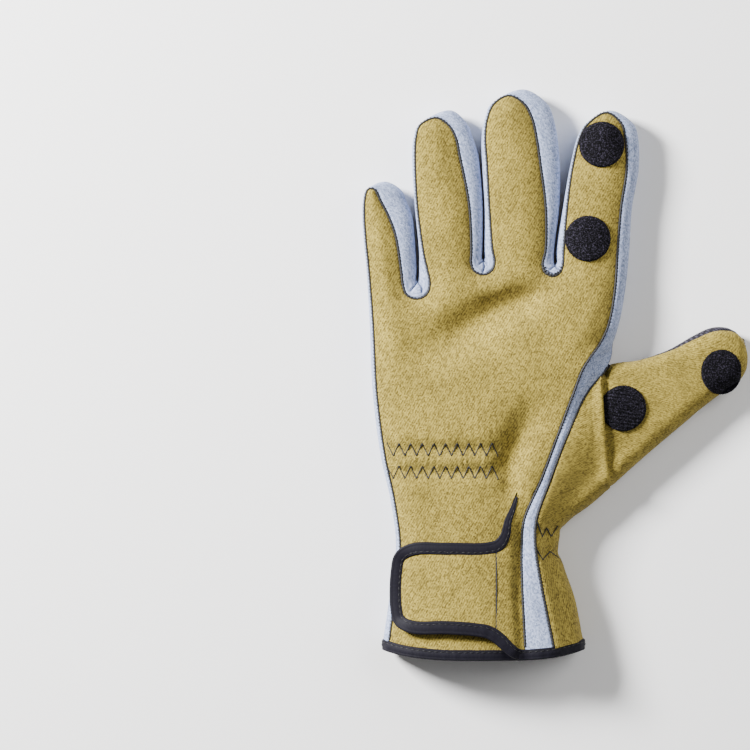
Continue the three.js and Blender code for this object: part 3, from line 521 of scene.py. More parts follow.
slit_at = next(i for i in range(side_end, len(seam_line)) if seam_line[i][1] < SLIT_TOP)
panel_seam = inset(seam_line, SEAM_GAP)
cut_x = np.interp(-SLIT_TOP, -panel_seam[slit_at - 1:slit_at + 1, 1], panel_seam[slit_at - 1:slit_at + 1, 0])
cut = along([(cut_x, SLIT_TOP), FLAP_EDGE[0]])


def hem_run(right, left):
    x = np.linspace(right, left, max(2, int(abs(right - left) / HEM_STEP)))
    return np.column_stack([x, hem_edge(x) + HEM_IN_TAPE])


main_outline = np.vstack([
    panel_seam[:slit_at],
    cut,
    along(CUFF_EDGE),
    hem_run(CUFF_EDGE[-1][0], panel_seam[0][0]),
])
flap_outline = np.vstack([
    cut[::-1],
    panel_seam[slit_at:],
    hem_run(panel_seam[-1][0], FLAP_CORNER[0][0])[:-1],
    along([*FLAP_CORNER, FLAP_EDGE[-1]])[:-1],
    along(FLAP_EDGE[::-1])[:-1],
])

# Slack in the foam: its height, its length across and along the hand, and a seed
SLACK = [(0.45, 14, 17, 3.7), (0.16, 5, 7, 9.1)]
# Gathers beside the elastic rows: their middle, reach and strength
GATHERS = [(-25.5, 7.5, 0.6), (-39.5, 6, 1.0), (-52, 5, 0.5)]
GATHER_PITCH = 2.5
GATHER_LIFT = 0.42
GATHER_WANDER = 3.5
GATHER_FADE = ((22, 30), (-77, -70))
WAVES_FADE = 4.0


def wave_noise(x, y, width, length, seed):
    return np.array([noise.noise(Vector((px / width, py / length, seed))) for px, py in zip(x, y)])


def jersey_waves(x, y):
    """Slack in the foam, and the fine gathers that the elastic under the wrist pulls into it."""
    slack = sum(rise * wave_noise(x, y, *size) for rise, *size in SLACK)
    pleats = np.sin(2 * math.pi * x / GATHER_PITCH + GATHER_WANDER * wave_noise(x, y, 6, 9, 1.3))
    near = sum(share * hump(y - middle, reach) for middle, reach, share in GATHERS)
    within = smooth(-x, *GATHER_FADE[0]) * smooth(x, *GATHER_FADE[1])
    return slack + GATHER_LIFT * pleats * np.minimum(near, 1) * within


flat, upper, lower, triangles = [], [], [], []
for outline, height in ((main_outline, back_height), (flap_outline, flap_height)):
    part, part_triangles = cut_panel(outline, PANEL_CELL)
    to_seam = distance_to(seam_line, *part.T)[0]
    base = height(*part.T)
    waves = jersey_waves(*part.T) * np.minimum(to_seam / WAVES_FADE, 1)
    triangles.append(part_triangles + sum(map(len, flat)))
    flat.append(part)
    upper.append(base + waves - edge_roll(to_seam - SEAM_GAP))
    lower.append(base - WALL)
flat, upper, lower = np.vstack(flat), np.concatenate(upper), np.concatenate(lower)
# The two halves share the points above the slit, where the flap joins the rest of the panel
shared = {}
weld = np.arange(len(flat))
for i in np.flatnonzero(np.abs(flat[:, 1] - SLIT_TOP) < 1e-4):
    weld[i] = shared.setdefault(round(flat[i, 0], 3), i)
used, triangles = np.unique(weld[np.vstack(triangles)], return_inverse=True)
points, faces, lining = shell(flat[used], upper[used], lower[used], triangles.reshape(-1, 3))
back_of_hand = make_piece("back_of_hand", points, faces, [khaki_jersey, lining_jersey], lining, points[:, :2])
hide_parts("back_panel")
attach(back_of_hand, "root")


# Side strips
# Light grey-blue neoprene strips that join back and palm round each finger. They are cut narrow and
# pulled round the fingertips. The last one leaves the index finger and crosses the wrist as a flat band.

STRIP_STEPS = 18
BAND_BULGE = 0.4


def strip_rings(first, last):
    """Outer and inner points of the strip's sections, from the back seam round to the palm seam."""
    rows = np.arange(first, last + 1)
    top, out, under, flat = seam_line[rows], edge_line[rows], palm_line[rows], flatness[rows]
    high = back_height(*top.T)
    on_flap = rows >= slit_at
    high[on_flap] = flap_height(*top[on_flap].T)
    band_height = np.interp(under[:, 1], band["y"], band["out_height"])
    middle = mix(SIDE_HEIGHT, (high + band_height) / 2 + BAND_BULGE, flat)
    low = mix(0.0, band_height, flat)
    inward = unit(top + under - 2 * out)
    # Shares across and up, rounded and straight, from the back to the side and from the side to the palm
    turn = np.linspace(0, math.pi / 2, STRIP_STEPS + 1)
    line = np.linspace(0, 1, STRIP_STEPS + 1)
    upper_half = np.column_stack([np.sin(turn), np.cos(turn), line])
    lower_half = np.column_stack([1 - np.cos(turn), 1 - np.sin(turn), line])[1:]
    rings = []
    for deep in (0.0, WALL):
        side = out + inward * deep * (1 - flat)[:, None]
        lower = under + inward * deep * np.sin(math.pi * flat)[:, None]
        levels = (high - deep, middle - deep * flat, low + deep * (1 - 2 * flat))
        halves = ((upper_half, (top, side), levels[:2]), (lower_half, (side, lower), levels[1:]))
        ring = []
        for shares, (start, end), (start_level, end_level) in halves:
            for across, up, straight in shares:
                plan = mix(start, end, mix(across, straight, flat)[:, None])
                ring.append(np.column_stack([plan, mix(end_level, start_level, mix(up, 1 - straight, flat))]))
        rings.append(np.stack(ring, axis=1))
    return rings


def travelled(points):
    """How far each point lies along its line of points."""
    steps = np.linalg.norm(np.diff(points, axis=-2), axis=-1)
    return np.concatenate([np.zeros((*steps.shape[:-1], 1)), np.cumsum(steps, axis=-1)], axis=-1)


def rolled(outer, inner):
    """The outer face turned in towards the inner one where it meets its seams."""
    run = travelled(outer)
    near = np.minimum(run, run[:, -1:] - run)
    towards = inner - outer
    thickness = np.linalg.norm(towards, axis=2)
    return outer + unit(towards) * (edge_roll(near) * np.minimum(thickness / WALL, 1))[..., None]


def outward(points, faces):
    """The faces, all turned round if they enclose a negative volume."""
    volume = 0.0
    for face in faces:
        for i in range(1, len(face) - 1):
            volume += points[face[0]] @ np.cross(points[face[i]], points[face[i + 1]])
    return faces if volume > 0 else [tuple(reversed(face)) for face in faces]


def closed_loft(outer, inner):
    """Points, faces, lining numbers and UV map of a sheet between two sets of sections."""
    count, size = outer.shape[:2]
    points = np.vstack([outer.reshape(-1, 3), inner.reshape(-1, 3)])
    over = np.arange(count * size).reshape(count, size)
    under = over + count * size

    def quads(*corners):
        return np.stack(corners, axis=-1).reshape(-1, 4).tolist()

    faces = quads(over[:-1, :-1], over[:-1, 1:], over[1:, 1:], over[1:, :-1])
    face_count = len(faces)
    faces += quads(under[1:, :-1], under[1:, 1:], under[:-1, 1:], under[:-1, :-1])
    faces += quads(over[:-1, 0], over[1:, 0], under[1:, 0], under[:-1, 0])
    faces += quads(over[:-1, -1], under[:-1, -1], under[1:, -1], over[1:, -1])
    faces += quads(over[0, :-1], under[0, :-1], under[0, 1:], over[0, 1:])
    faces += quads(over[-1, :-1], over[-1, 1:], under[-1, 1:], under[-1, :-1])
    lining = [0] * face_count + [1] * face_count + [0] * (len(faces) - 2 * face_count)
    run = travelled(outer[:, size // 2])
    uv = np.stack([travelled(outer), np.repeat(run[:, None], size, axis=1)], axis=2).reshape(-1, 2)
    return points, outward(points, faces), lining, np.vstack([uv, uv])


grey_jersey = knit_jersey("grey_blue_nylon_jersey", "#AAB5D2", "#68738F", stitch=0.55, slant=12, rows=0.06)

# Where a slit ends, the strip is pinched into short creases that fork from it, each from point to point
WEB_CREASES = [
    [(-60.8, 41.0), (-60.5, 39.2), (-63.6, 35.4)],
    [(-60.5, 39.2), (-58.6, 36.6), (-58.8, 34.6)],
    [(-31.8, 50.2), (-31.6, 48.4), (-33.5, 47.0)],
    [(-31.6, 48.4), (-29.9, 47.0)],
    [(-31.6, 47.6), (-31.2, 46.0), (-31.9, 43.6)],
    [(0.0, 48.4), (-0.3, 46.2), (-2.4, 44.6)],
    [(-0.3, 46.2), (1.2, 44.8)],
]
CREASE_DEPTH = 1.7
CREASE_REACH = 0.4
CREASE_FADE = (3.0, 6.0)


def web_creases(rings):
    """How far down each point of a strip's sections is drawn by the creases at the slits' ends."""
    plan = rings[..., :2].reshape(-1, 2)
    depth = np.zeros(len(plan))
    for crease in WEB_CREASES:
        distance, _ = distance_to(np.array(crease), *plan.T)
        depth = np.maximum(depth, CREASE_DEPTH * hump(distance, CREASE_REACH))
    depth = depth.reshape(rings.shape[:2]) * smooth(rings[..., 2], *CREASE_FADE)
    return depth[..., None] * [0, 0, 1]


for number, finger in enumerate(FINGERS):
    outer, inner = strip_rings(strip_ends[number], strip_ends[number + 1])
    outer = rolled(outer, inner)
    points, faces, lining, uv = closed_loft(outer - web_creases(outer), inner)
    strip = make_piece(f"{finger}_side_strip", points, faces, [grey_jersey, lining_jersey], lining, uv)
    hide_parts(f"{finger}_strip")
    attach(strip, "root")


# Thumb and its gusset
# The khaki back of the thumb goes on as the gusset down to the hem, in one piece of neoprene. At the
# thumb's root it laps over itself in a long crease. The thumb's underside is the palm's dark fabric.

THUMB_COLUMNS = ("left_x", "left_y", "right_x", "right_y", "crown", "palm", "depth", "rim")
THUMB = [
    (-0.9, -121.8, 12.5, -118.5, 17.0, 0.10, 0, 0),
    (-1.2, -120.2, 12.0, -116.9, 17.0, 0.10, 0, 0),
    (-4.6, -101.0, 8.6, -100.0, 16.5, 0.10, 0, 0),
    (-8.2, -86.0, 3.9, -86.4, 16.0, 0.10, 0, 0),
    (-9.1, -76.6, 1.5, -76.3, 15.0, 0.10, 0, 0),
    (-8.7, -65.6, 5.0, -67.2, 15.0, 0.15, 0, 0),
    (-4.5, -53.0, 16.0, -58.6, 14.5, 0.30, 0, 0),
    (-0.9, -43.0, 27.0, -48.8, 14.0, 0.34, 2.0, 0),
    (2.9, -33.0, 36.2, -40.5, 14.0, 0.36, 2.8, 0),
    (6.9, -23.0, 44.2, -33.6, 14.0, 0.38, 3.2, 0),
    (12.3, -12.0, 51.2, -27.7, 14.0, 0.36, 3.6, 0),
    (19.0, -3.0, 57.6, -22.3, 14.0, 0.24, 3.6, 0),
    (23.4, 2.4, 63.1, -17.6, 13.8, 0, 0, 0),
    (37.6, 5.0, 69.5, -12.6, 13.6, 0, 0, 3),
    (50.0, 9.4, 75.5, -8.2, 13.4, 0, 0, 20),
    (60.5, 15.4, 80.6, -4.8, 13.2, 0, 0, 34),
    (68.5, 19.0, 84.0, 0.2, 12.6, 0, 0, 38),
    (75.0, 19.2, 84.8, 5.4, 11.2, 0, 0, 37),
    (79.2, 17.4, 84.2, 9.8, 9.6, 0, 0, 30),
]
THUMB_JOINS_AT = 6
THUMB_WRAPS_UNTIL = 7.2
THUMB_FREE_AT = 11
THUMB_FREE_FROM = 11.45
LIP_LINE = [
    (19.0, 4.0), (19.5, -2.0), (20.0, -12.0), (20.6, -25.0), (21.6, -37.0), (23.2, -49.8), (24.4, -56.0),
]
# How far in from the outline the edge is rounded above and below, at most this share of the width
THUMB_SIDE_REACH, THUMB_SIDE_SHARE = 8.0, 0.45
THUMB_UNDER_REACH, THUMB_UNDER_SHARE = 6.0, 0.4
THUMB_CROWN_SHARE = 0.7
SIDE_STEPS, TOP_STEPS, UNDER_STEPS, FLAT_STEPS = 11, 30, 13, 12
ARC_STEPS = (9, 5)
UNDER_RUN_SHARE = 0.6
THUMB_TIP_HEIGHT = 0.7 * SIDE_HEIGHT
THUMB_THIN_BELOW = 9.0
# Below these lengths of cloth before and behind it, the lapped crease is drawn together
LIP_ROOM = (5.0, 7.0)
THUMB_CROWN_BULGE = 0.5
THUMB_PER_SPAN = 14
THUMB_TIP = (82.9, 14.0)
# The lapped crease in section: across it, and up, for a crease of full depth
LIP = [
    (-4.5, 0.05), (-3.2, 0.3), (-2.1, 0.7), (-1.2, 1.05), (-0.5, 1.2), (0.1, 1.2), (0.55, 1.0), (0.8, 0.6),
    (0.75, 0.1), (0.55, -0.4), (0.6, -0.8), (1.0, -1.02), (1.8, -1.05), (3.0, -0.8), (4.6, -0.45),
    (6.5, -0.15),
]
FULL_LIP = 2.6
CROSSING_STEPS = 12
# How near the lip may come to the section's start and go past its outline, and where it fades out past that
LIP_RANGE = (0.8, 1.0)
LIP_FADE = (-1.5, 1.0)
# Where khaki meets suede: points past the outline, or how far short of the end where the khaki wraps round
CORNER_POINTS = 4
CORNER_SHORT = 0.02
KHAKI_POINTS = (26, 30)
PALM_POINTS = 26
LIP_AT = slice(KHAKI_POINTS[0] - 1, KHAKI_POINTS[0] - 1 + len(LIP))
# Rounded end of the thumb: its last sections close in on the tip
TIP_SHARES = (0.3, 0.55, 0.75, 0.9, 0.97, 0.999)

rows = np.array(THUMB, float)
left = smooth_line(rows[:, 0:2], THUMB_PER_SPAN)
right = smooth_line(rows[:, 2:4], THUMB_PER_SPAN)
place = np.arange(len(left)) / THUMB_PER_SPAN
order = np.arange(len(rows))
thumb = {}
for column, name in enumerate(THUMB_COLUMNS[4:], 4):
    line = smooth_line(np.column_stack([order * 10, rows[:, column]]), THUMB_PER_SPAN)
    thumb[name] = np.interp(place * 10, line[:, 0], line[:, 1])
thumb["free"] = smooth(place, THUMB_FREE_AT, THUMB_FREE_FROM)
thumb["wrap"] = 1 - smooth(place, THUMB_JOINS_AT, THUMB_WRAPS_UNTIL)
thumb["depth"] = np.maximum(thumb["depth"], 0)
joined = place <= THUMB_FREE_AT
band_edge = palm_line[side_end:]
left[joined, 0] = np.interp(-left[joined, 1], -band_edge[:, 1], band_edge[:, 0])
for share in TIP_SHARES:
    inwards = 1 - math.sqrt(1 - share**2)
    left = np.vstack([left, mix(rows[-1, 0:2], THUMB_TIP, inwards)])
    right = np.vstack([right, mix(rows[-1, 2:4], THUMB_TIP, inwards)])
for name, values in thumb.items():
    thumb[name] = np.concatenate([values, np.full(len(TIP_SHARES), values[-1])])
thumb_out = np.concatenate([np.zeros(len(place)), TIP_SHARES])
widths = np.linalg.norm(right - left, axis=1)
directions = unit(right - left)


def lip_crossing(i):
    """How far across a section the lip's line is met, however far beyond its edge that is."""
    line = np.array(LIP_LINE)[::-1]
    s = 0.0
    for _ in range(CROSSING_STEPS):
        at_line = np.interp(left[i][1] + directions[i][1] * s, line[:, 1], line[:, 0])
        s = (at_line - left[i][0]) / directions[i][0]
    return s


def bend(degrees, reach):
    """A rounded edge at angles from its outermost point: how far in it is, and what share up."""
    turn = np.radians(degrees)
    return reach * (1 - np.cos(turn)), np.sin(turn)


def thumb_section(i):
    """Section points (across, up): over the top to the outline, and round underneath."""
    width, crown, free, rim = widths[i], thumb["crown"][i], thumb["free"][i], thumb["rim"][i]
    reach = min(THUMB_SIDE_REACH, width * THUMB_SIDE_SHARE)
    under_reach = min(THUMB_UNDER_REACH, width * THUMB_UNDER_SHARE)
    left_height = mix(np.interp(left[i][1], band["y"], band["out_height"]), crown, free)

    def top_at(s):
        bulge = THUMB_CROWN_BULGE * np.sin(math.pi * np.clip(s / width, 0, 1))
        return mix(left_height, crown, smooth(s, 0, width * THUMB_CROWN_SHARE)) + bulge

    # The left edge is rounded where the thumb is free, and level where it is sewn to the strip
    degrees = np.linspace(rim, 90, SIDE_STEPS)
    s, rise = bend(degrees, reach)
    share = (degrees - rim) / (90 - rim)
    level = np.column_stack([mix(SEAM_GAP, reach, share), top_at(reach * share)])
    top = [mix(level, np.column_stack([s, mix(SIDE_HEIGHT, top_at(reach), rise)]), free)]
    s = np.linspace(reach, width - reach, TOP_STEPS)[1:]
    top.append(np.column_stack([s, top_at(s)]))
    s, rise = bend(np.linspace(90, 0, SIDE_STEPS)[1:], reach)
    top.append(np.column_stack([width - s, mix(SIDE_HEIGHT, top_at(width - s), rise)]))

    s, rise = bend(np.linspace(0, 90, UNDER_STEPS)[1:], under_reach)
    bottom = [np.column_stack([width - s, SIDE_HEIGHT * (1 - rise)])]
    start = mix(thumb["palm"][i] * width + SEAM_GAP, under_reach, free)
    run_end = mix(width - under_reach, start, UNDER_RUN_SHARE)
    s = np.linspace(width - under_reach, mix(run_end, start, free), FLAT_STEPS)[1:-1]
    bottom.append(np.column_stack([s, s * 0]))
    under, fall = bend(np.linspace(90, 0, ARC_STEPS[0]), under_reach)
    over, rise = bend(np.linspace(0, rim, ARC_STEPS[1])[1:], reach)
    s = np.concatenate([under, over])
    up = np.concatenate([SIDE_HEIGHT * (1 - fall), mix(SIDE_HEIGHT, top_at(reach), rise)])
    flat_s = mix(run_end, start, np.arange(1, len(s) + 1) / len(s))
    bottom.append(mix(np.column_stack([flat_s, s * 0]), np.column_stack([s, up]), free))
    return np.vstack(top), np.vstack(bottom)


surfaces = [[], [], [], []]
outline_share = []
offsets = np.array(LIP)
for i, width in enumerate(widths):
    top, bottom = thumb_section(i)
    path = np.vstack([top, bottom])
    path[:, 1] = mix(THUMB_TIP_HEIGHT, path[:, 1], math.sqrt(1 - thumb_out[i] ** 2))
    free = thumb["free"][i]
    before, after = np.roll(path, 1, axis=0), np.roll(path, -1, axis=0)
    before[0] = mix(path[0], path[-2], free)
    after[-1] = mix(path[-1], path[1], free)
    step = unit(after - before)
    normals = np.column_stack([-step[:, 1], step[:, 0]])
    wall = WALL * min(1.0, width / THUMB_THIN_BELOW)
    within = path - normals * wall
    if free < 1:
        within[0] = mix(path[0] - [0, wall], within[0], free)
    lengths = travelled(path)
    outline_at = lengths[len(top) - 1]
    corner = mix(lengths[len(top) + CORNER_POINTS], lengths[-1] - CORNER_SHORT, thumb["wrap"][i])
    crossing = lip_crossing(i)
    lip_at = np.interp(crossing, top[:, 0], lengths[:len(top)])
    lip_at = min(max(lip_at, LIP_RANGE[0]), outline_at + LIP_RANGE[1])
    depth = thumb["depth"][i] / FULL_LIP * smooth(width - crossing, *LIP_FADE)
    even = np.linspace(LIP[0][0], LIP[-1][0], len(LIP))
    shares = np.where(even < 0, min(1.0, lip_at / LIP_ROOM[0]), min(1.0, (corner - lip_at) / LIP_ROOM[1]))
    lip_plain = lip_at + even * shares
    khaki_plain = np.concatenate([
        np.linspace(0, lip_plain[0], KHAKI_POINTS[0])[:-1], lip_plain,
        np.linspace(lip_plain[-1], corner - SEAM_GAP, KHAKI_POINTS[1])[1:]])
    khaki_folded, lift = khaki_plain.copy(), khaki_plain * 0
    khaki_folded[LIP_AT] = lip_at + mix(even, offsets[:, 0], min(depth, 1.0)) * shares
    lift[LIP_AT] = offsets[:, 1] * depth
    palm_at = np.linspace(corner + SEAM_GAP, lengths[-1] - SEAM_GAP * free, PALM_POINTS)
    outline_share.append(np.interp(outline_at, khaki_plain, np.arange(len(khaki_plain))))
    for surface, (at, line, up) in zip(surfaces, (
            (khaki_folded, path, lift), (khaki_plain, within, 0), (palm_at, path, 0), (palm_at, within, 0))):
        across = np.interp(at, lengths, line[:, 0]) + up * np.interp(at, lengths, normals[:, 0])
        high = np.interp(at, lengths, line[:, 1]) + up * np.interp(at, lengths, normals[:, 1])
        surface.append(np.column_stack([left[i] + directions[i] * across[:, None], high]))
outer_back, inner_back, outer_under, inner_under = map(np.array, surfaces)

# The elastic rows sewn inside the wrist draw the gusset in, with soft puffs between their stitches
GATHER_ROWS = (-70.4, -80.4)
PINCH_REACH = 2.2
PINCH_FADE = (2.0, 5.0)
PUFF_PITCH = 4.2
PINCH_DEPTH = 0.7

pinch = sum(hump(outer_back[..., 1] - y, PINCH_REACH) for y in GATHER_ROWS)
puffs = 0.5 + 0.5 * np.cos(2 * math.pi * outer_back[..., 0] / PUFF_PITCH)
pinch = PINCH_DEPTH * pinch * (1 + puffs) * smooth(outer_back[..., 2], *PINCH_FADE)
outer_back = outer_back + unit(inner_back - outer_back) * pinch[..., None]

points, faces, lining, uv = closed_loft(rolled(outer_back, inner_back), inner_back)
# The jersey is laid out from the outline, so that its grain runs on evenly past the crotch of the thumb
uv = uv.reshape(2, *outer_back.shape[:2], 2)
across = np.arange(outer_back.shape[1])
for i, share in enumerate(outline_share):
    uv[:, i, :, 0] -= np.interp(share, across, uv[0, i, :, 0])
thumb_cloth = make_piece(
    "thumb_and_gusset", points, faces, [khaki_jersey, lining_jersey], lining, uv.reshape(-1, 2))
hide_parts("thumb_back")
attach(thumb_cloth, "root")


# Palm and undersides of the fingers
# Dark synthetic suede, embossed with short blocks for grip and bonded to thin foam. It lies flat on the
# surface, and at the crotch of the thumb its edge is drawn up to meet the strip and the thumb.

SLIT_BAND = {"left": 14.5, "right": 31.5, "bottom": 80.0, "top": 88.0}
SLIT_BAND_DEPTH = 0.6
# The ribbon lies in a shallow recess, which deepens between these distances inward from its sides and ends
RECESS_SIDES = (-0.8, 0.0)
RECESS_ENDS = (-0.4, 0.2)
PALM_ROLL = 0.8
PALM_WALL = 1.6
PALM_LINING_HEIGHT = 2.0
PALM_CELL = 1.5
DRAWN_DEPTH = 0.405
PALM_FOLD_DEPTH = 0.54
PALM_FOLD_PITCH = 4.8
PALM_FOLD_REACH = 9.0
DRAWN_REACH = 2.6
CROTCH_INSET = 0.2
# Points left out where the palm's edge, its drawn-up wall and the gusset's edge meet
CROTCH_TRIM, WALL_TRIM, GUSSET_TRIM = 4, 5, 3
CROTCH_SINK = 0.1
# The drawn-up edge at the crotch in section: how far in and up from its foot, then shares of its height
CROTCH_FOOT = [(2.4, 0.02), (1.5, 0.2), (0.7, 0.7), (0.2, 1.5), (0.0, 2.6)]
CROTCH_SHARES = (0.35, 0.7, 1.0)
CROTCH_END = [(24.6, 1.6, 9.8), (27.0, 1.8, 8.8), (30.0, 2.4, 8.0)]


def embossed_suede(name, light, dark, pitch=1.7):
    """Polyurethane-coated microfibre with short blocks pressed in under heat, in slanting rows like a
    plain weave. Each block stands up with a soft shine on its top, and the ground stays matt."""
    material, tree = new_material(name)
    place = add_node(tree, "ShaderNodeUVMap").outputs[0]
    turned = add_node(tree, "ShaderNodeMapping", None, {
        "Vector": place, "Rotation": (0, 0, math.radians(38)), "Scale": (0.72, 1.15, 1.0)}).outputs[0]
    blocks = add_node(tree, "ShaderNodeTexVoronoi", {"voronoi_dimensions": "2D"}, {
        "Vector": turned, "Scale": 1 / pitch, "Randomness": 0.0})
    raised = add_node(tree, "ShaderNodeMapRange", {"interpolation_type": "SMOOTHSTEP"}, {
        "Value": blocks.outputs["Distance"], "From Min": 0.42, "From Max": 0.22})
    nap = add_node(tree, "ShaderNodeTexNoise", None, {"Vector": turned, "Scale": 2.5, "Detail": 2.0})
    height = blend(tree, "FLOAT", 0.15, raised.outputs[0], nap.outputs["Fac"])
    gloss = add_node(tree, "ShaderNodeMapRange", None, {"Value": height, "To Min": 0.85, "To Max": 0.6})
    # The colour follows the height: the blocks' tops are lighter, a painted shine, and the ground between
    # them is darker, painted shade.
    set_shader(tree, {
        "Base Color": blend(tree, "RGBA", height, linear(dark), linear(light)),
        "Normal": bumps(tree, 0.8, 0.0003, height), "Roughness": gloss.outputs[0], "Specular IOR Level": 0.3})
    return material


def palm_gather(x, y):
    """How far the elastic inside the wrist lifts the palm off the surface, in folds up and down it."""
    drawn = sum(hump(y - row, DRAWN_REACH) for row in GATHER_ROWS)
    folds = 0.5 + 0.5 * np.cos(2 * math.pi * x / PALM_FOLD_PITCH + 2 * wave_noise(x, y, 7, 12, 5.1))
    return DRAWN_DEPTH * drawn + PALM_FOLD_DEPTH * folds * hump(y - sum(GATHER_ROWS) / 2, PALM_FOLD_REACH)


palm_suede = embossed_suede("embossed_palm_suede", "#3A3744", "#121018")

points, faces, lining, uv = closed_loft(rolled(outer_under, inner_under), inner_under)
thumb_suede = make_piece("thumb_underside", points, faces, [palm_suede, lining_jersey], lining, uv)
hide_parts("thumb_palm")
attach(thumb_suede, "root")

crotch_start = side_end - SAMPLES_PER_SPAN
crotch_end = side_end + 2 * SAMPLES_PER_SPAN - CROTCH_TRIM
gusset_edge = np.array([
    mix(left[i], right[i], thumb["palm"][i]) - [SEAM_GAP, 0]
    for i in range(len(place)) if place[i] <= THUMB_FREE_AT - 0.1])
palm_seam = inset(palm_line[:crotch_start], SEAM_GAP)
crotch_edge = inset(palm_line, SEAM_GAP)[crotch_start:crotch_end]
palm_outline = np.vstack([
    palm_seam,
    along([*crotch_edge, gusset_edge[-1]])[:-1],
    gusset_edge[::-1][:-GUSSET_TRIM],
    hem_run(gusset_edge[0][0], palm_seam[0][0]),
])
flat, triangles = cut_panel(palm_outline, PALM_CELL)
x, y = flat.T
to_seam = distance_to(palm_line[:crotch_start], x, y)[0]
from_sides = np.minimum(x - SLIT_BAND["left"], SLIT_BAND["right"] - x)
from_ends = np.minimum(y - SLIT_BAND["bottom"], SLIT_BAND["top"] - y)
under_band = smooth(from_sides, *RECESS_SIDES) * smooth(from_ends, *RECESS_ENDS)
lower = edge_roll(to_seam - SEAM_GAP) * PALM_ROLL + SLIT_BAND_DEPTH * under_band
lower += palm_gather(x, y) * np.minimum(to_seam / WAVES_FADE, 1)
points, faces, lining = shell(flat, np.full(len(x), PALM_LINING_HEIGHT), lower, triangles)
lining = [1 - number for number in lining]

# The drawn-up edge: a curved wall from the palm to the strip's far edge and on along the thumb's root
strip_low = mix(0.0, np.interp(palm_line[:, 1], band["y"], band["out_height"]), flatness)
web_path = np.column_stack([inset(palm_line, CROTCH_INSET), strip_low - CROTCH_SINK])
web_path = np.vstack([web_path[crotch_start + WALL_TRIM:crotch_end], CROTCH_END])
web_inward = to_right(web_path[:, :2])
foot_height = np.minimum(CROTCH_FOOT[-1][1], web_path[:, 2])
web_rings = []
for deep in (0.0, PALM_WALL):
    ring = []
    for across, up in CROTCH_FOOT:
        high = np.minimum(up, web_path[:, 2]) + deep * (up < 1)
        ring.append(np.column_stack([web_path[:, :2] + web_inward * (across + deep), high]))
    for share in CROTCH_SHARES:
        high = mix(foot_height, web_path[:, 2], share)
        ring.append(np.column_stack([web_path[:, :2] + web_inward * deep, high]))
    web_rings.append(np.stack(ring, axis=1))
web_points, web_faces, web_lining, web_uv = closed_loft(*web_rings)
faces += [tuple(corner + len(points) for corner in face) for face in web_faces]
palm_cloth = make_piece(
    "palm_and_undersides", np.vstack([points, web_points]), faces, [palm_suede, lining_jersey],
    lining + web_lining, np.vstack([points[:, :2], web_uv]))
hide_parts("palm_panel")
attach(palm_cloth, "root")


# Index slit band
# A smooth dark ribbon sewn flat across the underside of the index finger, where its tip opens.

SLIT_BAND_THICKNESS = 1.2


def rectangle(sides, step):
    """A rectangle's outline, from its lower left corner round to the right."""
    left, right, bottom, top = (sides[name] for name in ("left", "right", "bottom", "top"))
    return along([(left, bottom), (right, bottom), (right, top), (left, top), (left, bottom)], step)[:-1]


def smooth_ribbon(name, colour, sheen_tint):
    """Plain-woven polyester ribbon. It is too fine for its threads to show, so it only has a low even
    sheen and a faint slub."""
    material, tree = new_material(name)
    place = add_node(tree, "ShaderNodeTexCoord").outputs["Object"]
    slub = add_node(tree, "ShaderNodeTexNoise", None, {"Vector": place, "Scale": 900.0, "Detail": 2.0})
    set_shader(tree, {
        "Base Color": blend(tree, "RGBA", slub.outputs["Fac"], linear(colour), linear(sheen_tint)),
        "Normal": bumps(tree, 0.3, 0.0001, slub.outputs["Fac"]), "Roughness": 0.5})
    return material


band_outline = rectangle(SLIT_BAND, 1.0)
flat, triangles = cut_panel(band_outline, 1.0, (0.15, 0.4, 0.8))
lower = 0.1 + edge_roll(distance_to(closed(band_outline), *flat.T)[0], 0.8, 0.35)
points, faces, _ = shell(flat, np.full(len(flat), SLIT_BAND_THICKNESS), lower, triangles)
dark_ribbon = smooth_ribbon("dark_polyester_ribbon", "#17151D", "#2A2833")
slit_band = make_piece("index_slit_ribbon", points, faces, [dark_ribbon])
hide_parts("index_slit_band")
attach(slit_band, "root")


# Wrist strap
# A short tab of the khaki neoprene that is sewn to the flap and laps over the cuff. A pad of hook tape
# under its end holds it.

STRAP_OUTLINE = [
    (STRAP_SEAM - SEAM_GAP, -79.2), (-62, -79.6), (-67.2, -82.2), (-68.8, -88), (-69, -104), (-67.4, -109.4),
    (-62.4, -111.6), (-38, -112.2), (STRAP_SEAM - SEAM_GAP, -114.6), (STRAP_SEAM - SEAM_GAP, -79.2),
]
STRAP_WAVES_FADE = 6.0

strap_outline = along(STRAP_OUTLINE)[:-1]
flat, triangles = cut_panel(strap_outline, PANEL_CELL)
base = back_height(*flat.T) + FLAP_LIFT
in_tape = np.minimum(distance_to(closed(strap_outline), *flat.T)[0] / STRAP_WAVES_FADE, 1)
upper = base + jersey_waves(*flat.T) * in_tape - edge_roll(STRAP_SEAM - flat[:, 0]) * 0.5
points, faces, lining = shell(flat, upper, base - WALL, triangles)
strap = make_piece("wrist_strap", points, faces, [khaki_jersey, lining_jersey], lining, points[:, :2])
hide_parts("strap")
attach(strap, "root")


# Strap pad
# A square of hook tape sewn under the strap's end. It grips the jersey of the cuff and holds the strap.

STRAP_PAD = {"left": -67.0, "right": -50.0, "bottom": -105.0, "top": -86.0}
PAD_GAP = 0.3
PAD_THICKNESS = 0.9


